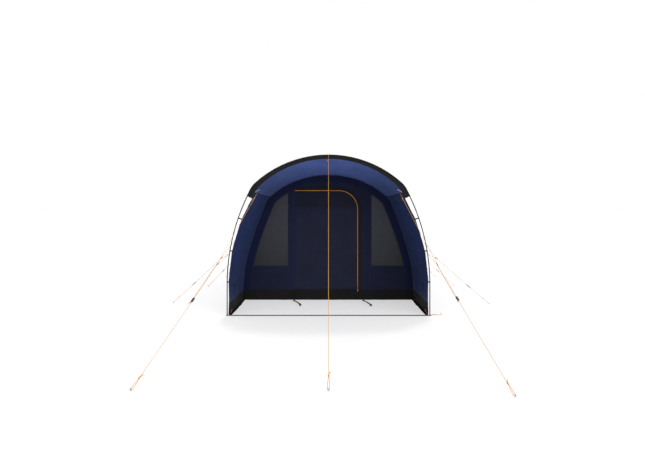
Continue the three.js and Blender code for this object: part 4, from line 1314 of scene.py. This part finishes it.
def door_band(offset, steps=30):
    """Points (x, z) at a distance outside the doorway, along its top and down its right side."""
    corner = [(DOOR_RIGHT - DOOR_CORNER + (DOOR_CORNER + offset) * math.cos(a), DOOR_TOP
               - DOOR_CORNER + (DOOR_CORNER + offset) * math.sin(a))
              for a in (math.pi / 2 * (1 - i / steps) for i in range(steps + 1))]
    top = [(x, DOOR_TOP + offset) for x in spread(DOOR_LEFT, DOOR_RIGHT - DOOR_CORNER, 40)[:-1]]
    down = [(DOOR_RIGHT + offset, z)
            for z in spread(DOOR_TOP - DOOR_CORNER, DOOR_FOOT + 0.001, 70)[1:]]
    return top + corner + down


def coil_zip():
    """Nylon coil: fine oblique turns each side of a centre line, on a woven tape."""
    material, shader = new_material("orange_coil_zip", Roughness=0.5, Specular_IOR_Level=0.45)
    place = add_node(material, "ShaderNodeTexCoord").outputs["UV"]
    turns = add_node(material, "ShaderNodeTexWave", {"bands_direction": "X"}, Vector=place,
                     Scale=0.314 / 0.0026).outputs["Fac"]
    colour = add_node(material, "ShaderNodeMix", {"data_type": "RGBA"}, in0=turns,
                      in6=linear(0x9A5C18), in7=linear(0xC97F24)).outputs[2]
    bump = add_node(material, "ShaderNodeBump", Height=turns, Strength=0.8, Distance=0.0006)
    material.node_tree.links.new(colour, shader.inputs["Base Color"])
    material.node_tree.links.new(bump.outputs[0], shader.inputs["Normal"])
    return material


orange_zip = coil_zip()
black_zip_tape = stitched_tape("rain_flap_cloth", 0x0F1114, 0x1E2126, 0.046)
wall_strip("door_zip_tape", door_band(0.006), 0.010, orange_zip, lift=0.0022,
           thickness=0.0012)
coil_line = [Vector((x, WALL_Y - 0.0034, z)) for x, z in door_band(0.006)]
coil = tube("door_zip_coil", coil_line, 0.0017, sides=8)
dress(coil, orange_zip, stands_for=["door_zip"])
flap = wall_strip("door_rain_flap", door_band(0.036), 0.046, black_zip_tape,
                  lift=0.0035, thickness=0.0014)
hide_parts("rain_flap")

# ---------------------------------------------------------------------------------------------
# Zip slider and puller: a moulded nylon slider with a waisted body and a bridge, and an orange
# cord pull with a moulded grip that swings on the bridge.
# ---------------------------------------------------------------------------------------------
slider_low, slider_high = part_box("zip_slider")


def softened_block(name, low, high, soften, taper=1.0):
    """A moulded block between two corners, narrowed towards its foot, with rounded edges."""
    work = bmesh.new()
    bmesh.ops.create_cube(work, size=1)
    size, centre = Vector(high) - Vector(low), (Vector(high) + Vector(low)) / 2
    for vert in work.verts:
        narrow = taper if vert.co.z < 0 else 1
        vert.co = centre + Vector((vert.co.x * size.x * narrow, vert.co.y * size.y,
                                   vert.co.z * size.z))
    bmesh.ops.bevel(work, geom=work.edges, offset=soften, segments=3, affect="EDGES",
                    profile=0.5, material=-1)
    mesh = bpy.data.meshes.new(name)
    work.to_mesh(mesh)
    return new_piece(name, mesh)


slider = softened_block("door_zip_slider", (slider_low.x, slider_high.y - 0.0045, slider_low.z),
                        tuple(slider_high), 0.0014, taper=0.72)
dress(slider, black_nylon, body="zip_slider", stands_for=["zip_slider"])
slider_x, slider_z = (slider_low.x + slider_high.x) / 2, (slider_low.z + slider_high.z) / 2
bridge = [Vector((slider_x, slider_high.y - 0.004 - 0.0034 * math.sin(a),
                  slider_z - 0.007 * math.cos(a))) for a in spread(0, math.pi, 10)]
dress(tube("door_slider_bridge", bridge, 0.0011), black_nylon,
      body="zip_slider")
grip_low, grip_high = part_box("zip_puller")
grip = softened_block("door_zip_grip", (grip_low.x, grip_low.y, grip_low.z),
                      (grip_high.x, grip_high.y, grip_low.z + 0.026), 0.0012)
dress(grip, orange_nylon, body="zip_puller", stands_for=["zip_puller"])
for side in (-1, 1):
    reach = [Vector((slider_x + side * 0.0022, (grip_low.y + grip_high.y) / 2, z))
             for z in spread(grip_low.z + 0.02, grip_high.z, 6)]
    dress(tube(f"door_pull_cord_{'left' if side < 0 else 'right'}", reach, 0.0011),
          braided_cord, body="zip_puller")

# ---------------------------------------------------------------------------------------------
# Ties and peg-out straps: a black stay with a toggle low on each porch side, and two black
# webbing straps with ladder buckles and rolled ends that peg down the wall's foot.
# ---------------------------------------------------------------------------------------------
def toggle_tie(name, centre, face, along):
    """A webbing stay with a barrel toggle in a loop of elastic, on cloth that faces `face`."""
    face, along = Vector(face).normalized(), Vector(along).normalized()
    centre = Vector(centre)
    stay = [centre + face * (0.001 + 0.004 * math.sin(math.pi * t)) + along * (0.05 * (t - 0.5))
            for t in spread(0, 1, 8)]
    pieces = [ribbon(f"{name}_stay", stay, along.cross(face), 0.012)]
    toggle = [centre + face * 0.008 + along.cross(face) * (0.034 * (t - 0.5))
              for t in (0, 0.06, 0.5, 0.94, 1)]
    pieces.append(tube(f"{name}_toggle", toggle, 0.0042, sides=12))
    loop = [centre + face * 0.006 + along * (0.026 + 0.022 * math.cos(a))
            + along.cross(face) * 0.016 * math.sin(a) for a in spread(-2.6, 2.6, 20)]
    pieces.append(tube(f"{name}_elastic", loop, 0.0016))
    return pieces


for side, label in ((-1, "left"), (1, "right")):
    y, arc = FRONT_Y + 0.24, side * arc_at(FRONT_Y, 0.34, 0.06)
    at = cloth_point(y, arc, 0.002)
    inward = cloth_point(y, arc, 0.02) - at
    for part in toggle_tie(f"porch_{label}_tie", at, inward, (0, 0.8, 0.4)):
        dress(part, black_nylon if "toggle" in part.name else black_webbing)


def peg_out_strap(name, x, heading):
    """A webbing strap lying on the ground, from the wall's foot through its ladder buckle."""
    heading = Vector((heading[0], heading[1], 0)).normalized()
    across = heading.cross(Vector((0, 0, 1)))
    start = Vector((x, WALL_Y - 0.012, 0.004))
    line = [start + heading * (0.40 * t) + across * (0.024 * math.sin(6.3 * t))
            + Vector((0, 0, 0.018 * math.sin(math.pi * min(1, t * 1.3)) ** 2 + 0.012 * t ** 3))
            for t in spread(0, 1, 36)]
    dress(ribbon(f"{name}_strap", line, across, 0.025, 0.0024), black_webbing)
    turned = [line[-1] + heading * (0.018 * math.sin(a)) + Vector((0, 0, 0.011 - 0.011 * math.cos(a)))
              for a in spread(0, 3.4, 14)]
    dress(ribbon(f"{name}_rolled_end", turned, across, 0.030, 0.0024), black_webbing)
    near = line[11]
    for d in (-0.009, 0, 0.009):
        bar = [near + heading * d + across * s + Vector((0, 0, 0.004))
               for s in (-0.014, 0, 0.014)]
        dress(tube(f"{name}_buckle_bar_{round(d * 1000) + 9}", bar, 0.0018), black_nylon)
    for s in (-0.014, 0.014):
        rail = [near + heading * d + across * s + Vector((0, 0, 0.004))
                for d in (-0.011, 0, 0.011)]
        dress(tube(f"{name}_buckle_rail_{'a' if s < 0 else 'b'}", rail, 0.002), black_nylon)


peg_out_strap("left_peg_out", -0.512, (0.30, -1))
peg_out_strap("right_peg_out", 0.520, (0.17, -1))
for side, label in ((-1, "left"), (1, "right")):
    foot = cloth_point(FRONT_Y + 0.58, side * (FOOT - 0.002))
    loop = [Vector((foot.x + side * 0.012 * math.sin(a), foot.y + 0.02 * math.cos(a),
                    0.012 + 0.008 * math.sin(a))) for a in spread(0, math.pi, 14)]
    dress(ribbon(f"{label}_skirt_peg_loop", loop, (0, 0, 1), 0.014), black_webbing)

# ---------------------------------------------------------------------------------------------
# Inner tent: uncoated grey breathable polyester hung a hand's breadth inside the fly, with a
# D-shaped door of its own and a tub groundsheet of grey laminated polyethylene.
# ---------------------------------------------------------------------------------------------
INNER_INSET = 0.1
inner_low, inner_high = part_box("inner_tent")
TUB_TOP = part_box("inner_groundsheet")[1].z
inner_door_low, inner_door_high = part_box("inner_door")
INNER_DOORWAY = dict(left=inner_door_low.x - DOOR_EDGE, right=inner_door_high.x + DOOR_EDGE,
                     foot=inner_door_low.z - DOOR_EDGE, top=inner_door_high.z + DOOR_EDGE,
                     corner=0.33)
inner_cloth = coated_cloth("grey_breathable_polyester", 0x6E7480, 0x5E636E, roughness=0.85,
                           sheen=0.1)
inner_trim = stitched_tape("inner_door_trim", 0x22252C, 0x3C414C, 0.02)


def inner_arc(y):
    """Where the inner tent's cloth is sewn to its tub floor."""
    return arc_at(y, TUB_TOP - 0.004, FLY_INSET + INNER_INSET)


def place_inner(u, v):
    y = inner_low.y + 0.001 + (inner_high.y - inner_low.y - 0.003) * v
    arc = inner_arc(y) * (2 * u - 1)
    return cloth_point(y, arc, INNER_INSET + 0.001)


inner_shell = sheet("inner_tent_shell", 150, 110, place_inner, (4.3, 1.95))
dress(inner_shell, inner_cloth, stands_for=["inner_tent"])
inner_back = flat_cloth(
    "inner_tent_back", [arch_outline(inner_high.y, FLY_INSET + INNER_INSET + 0.003,
                                     TUB_TOP - 0.004)],
    inner_high.y - 0.002, 0.06, lambda x, z: 0.3 * slack(x, z) - 0.002)
dress(inner_back, inner_cloth)
inner_y = (inner_door_low.y + inner_door_high.y) / 2
inner_front = flat_cloth(
    "inner_front_wall", [arch_outline(inner_y + 0.003, FLY_INSET + INNER_INSET + 0.002,
                                      TUB_TOP - 0.004),
                         dense(door_outline(0, **INNER_DOORWAY))],
    inner_y, 0.05, lambda x, z: 0.4 * slack(x, z))
dress(inner_front, inner_cloth, stands_for=["inner_front"])
inner_panel = flat_cloth("inner_door_panel", [dense(door_outline(-0.003, **INNER_DOORWAY))],
                         inner_y, 0.045, lambda x, z: 0.4 * slack(x, z))
dress(inner_panel, inner_cloth, body="inner_door", stands_for=["inner_door"])
trim = door_outline(0.008, **INNER_DOORWAY)[1:]
trim_points = dense(trim, 0.03)
trim_points = trim_points[:trim_points.index(trim[-1]) + 1]
line = [Vector((x, inner_y - 0.003, z)) for x, z in trim_points]
dress(ribbon("inner_door_zip_trim", line, ways_across(line), 0.02, 0.002), inner_trim)


def laminated_sheet():
    """Woven polyethylene tape laminated between films: a coarse cross weave under a low gloss."""
    material, shader = new_material("grey_laminated_polyethylene", IOR=1.5)
    place = add_node(material, "ShaderNodeTexCoord").outputs["Object"]
    weave = weave_height(material, place, 0.004)
    colour = add_node(material, "ShaderNodeMix", {"data_type": "RGBA"}, in0=weave,
                      in6=linear(0x3A3E44), in7=linear(0x464B52)).outputs[2]
    scuff = add_node(material, "ShaderNodeTexNoise", Vector=place, Scale=6, Detail=6)
    gloss = add_node(material, "ShaderNodeMapRange", in0=scuff.outputs["Fac"], in3=0.4,
                     in4=0.62).outputs[0]
    bump = add_node(material, "ShaderNodeBump", Height=weave, Strength=0.4, Distance=0.0006)
    material.node_tree.links.new(colour, shader.inputs["Base Color"])
    material.node_tree.links.new(gloss, shader.inputs["Roughness"])
    material.node_tree.links.new(bump.outputs[0], shader.inputs["Normal"])
    return material


tub_low, tub_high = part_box("inner_groundsheet")
tub_back_half = cloth_point(inner_high.y, FOOT, INNER_INSET).x
tub = bmesh.new()
bmesh.ops.create_cube(tub, size=1)
for vert in tub.verts:
    half = tub_high.x if vert.co.y < 0 else tub_back_half
    vert.co = Vector((math.copysign(half - 0.002, vert.co.x),
                      tub_low.y + 0.002 if vert.co.y < 0 else tub_high.y - 0.002,
                      0.0025 if vert.co.z < 0 else TUB_TOP - 0.001))
lid = [face for face in tub.faces if face.normal.z > 0.9]
bmesh.ops.delete(tub, geom=lid, context="FACES_ONLY")
bmesh.ops.bevel(tub, geom=[e for e in tub.edges if not e.is_boundary], offset=0.02, segments=4,
                affect="EDGES", profile=0.5, material=-1)
bmesh.ops.subdivide_edges(tub, edges=[e for e in tub.edges if e.calc_length() > 0.5], cuts=24,
                          use_grid_fill=True)
for vert in tub.verts:
    if vert.co.z > 0.03:
        vert.co += Vector((-vert.co.x * 0.002, 0, 0)) + Vector(
            (0, 0, -abs(noise.noise(vert.co * 3)) * 0.006))
tub_mesh = bpy.data.meshes.new("groundsheet_tub")
tub.to_mesh(tub_mesh)
groundsheet = new_piece("groundsheet_tub", tub_mesh)
wall = groundsheet.modifiers.new("thickness", "SOLIDIFY")
wall.thickness, wall.offset = 0.0009, 0
dress(groundsheet, laminated_sheet(), stands_for=["inner_groundsheet"])

for hoop, y in (("middle", MIDDLE_Y + 0.035), ("rear", REAR_Y + 0.01)):
    for i, arc in enumerate((-2.0, -1.05, 0.0, 1.05, 2.0)):
        ends = cloth_point(y, arc, 0.002), cloth_point(y, arc, INNER_INSET - 0.002)
        dress(tube(f"{hoop}_hanger_{i}", between(*ends, 4), 0.0018), black_webbing)
        half = (cloth_point(y, arc + 0.01, INNER_INSET) - cloth_point(y, arc, INNER_INSET))
        half = half.normalized() * 0.016
        middle = ends[0].lerp(ends[1], 0.72)
        dress(tube(f"{hoop}_hanger_toggle_{i}", [middle + half * s for s in (-1, -0.9, 0.9, 1)],
                   0.004, sides=12), black_nylon)
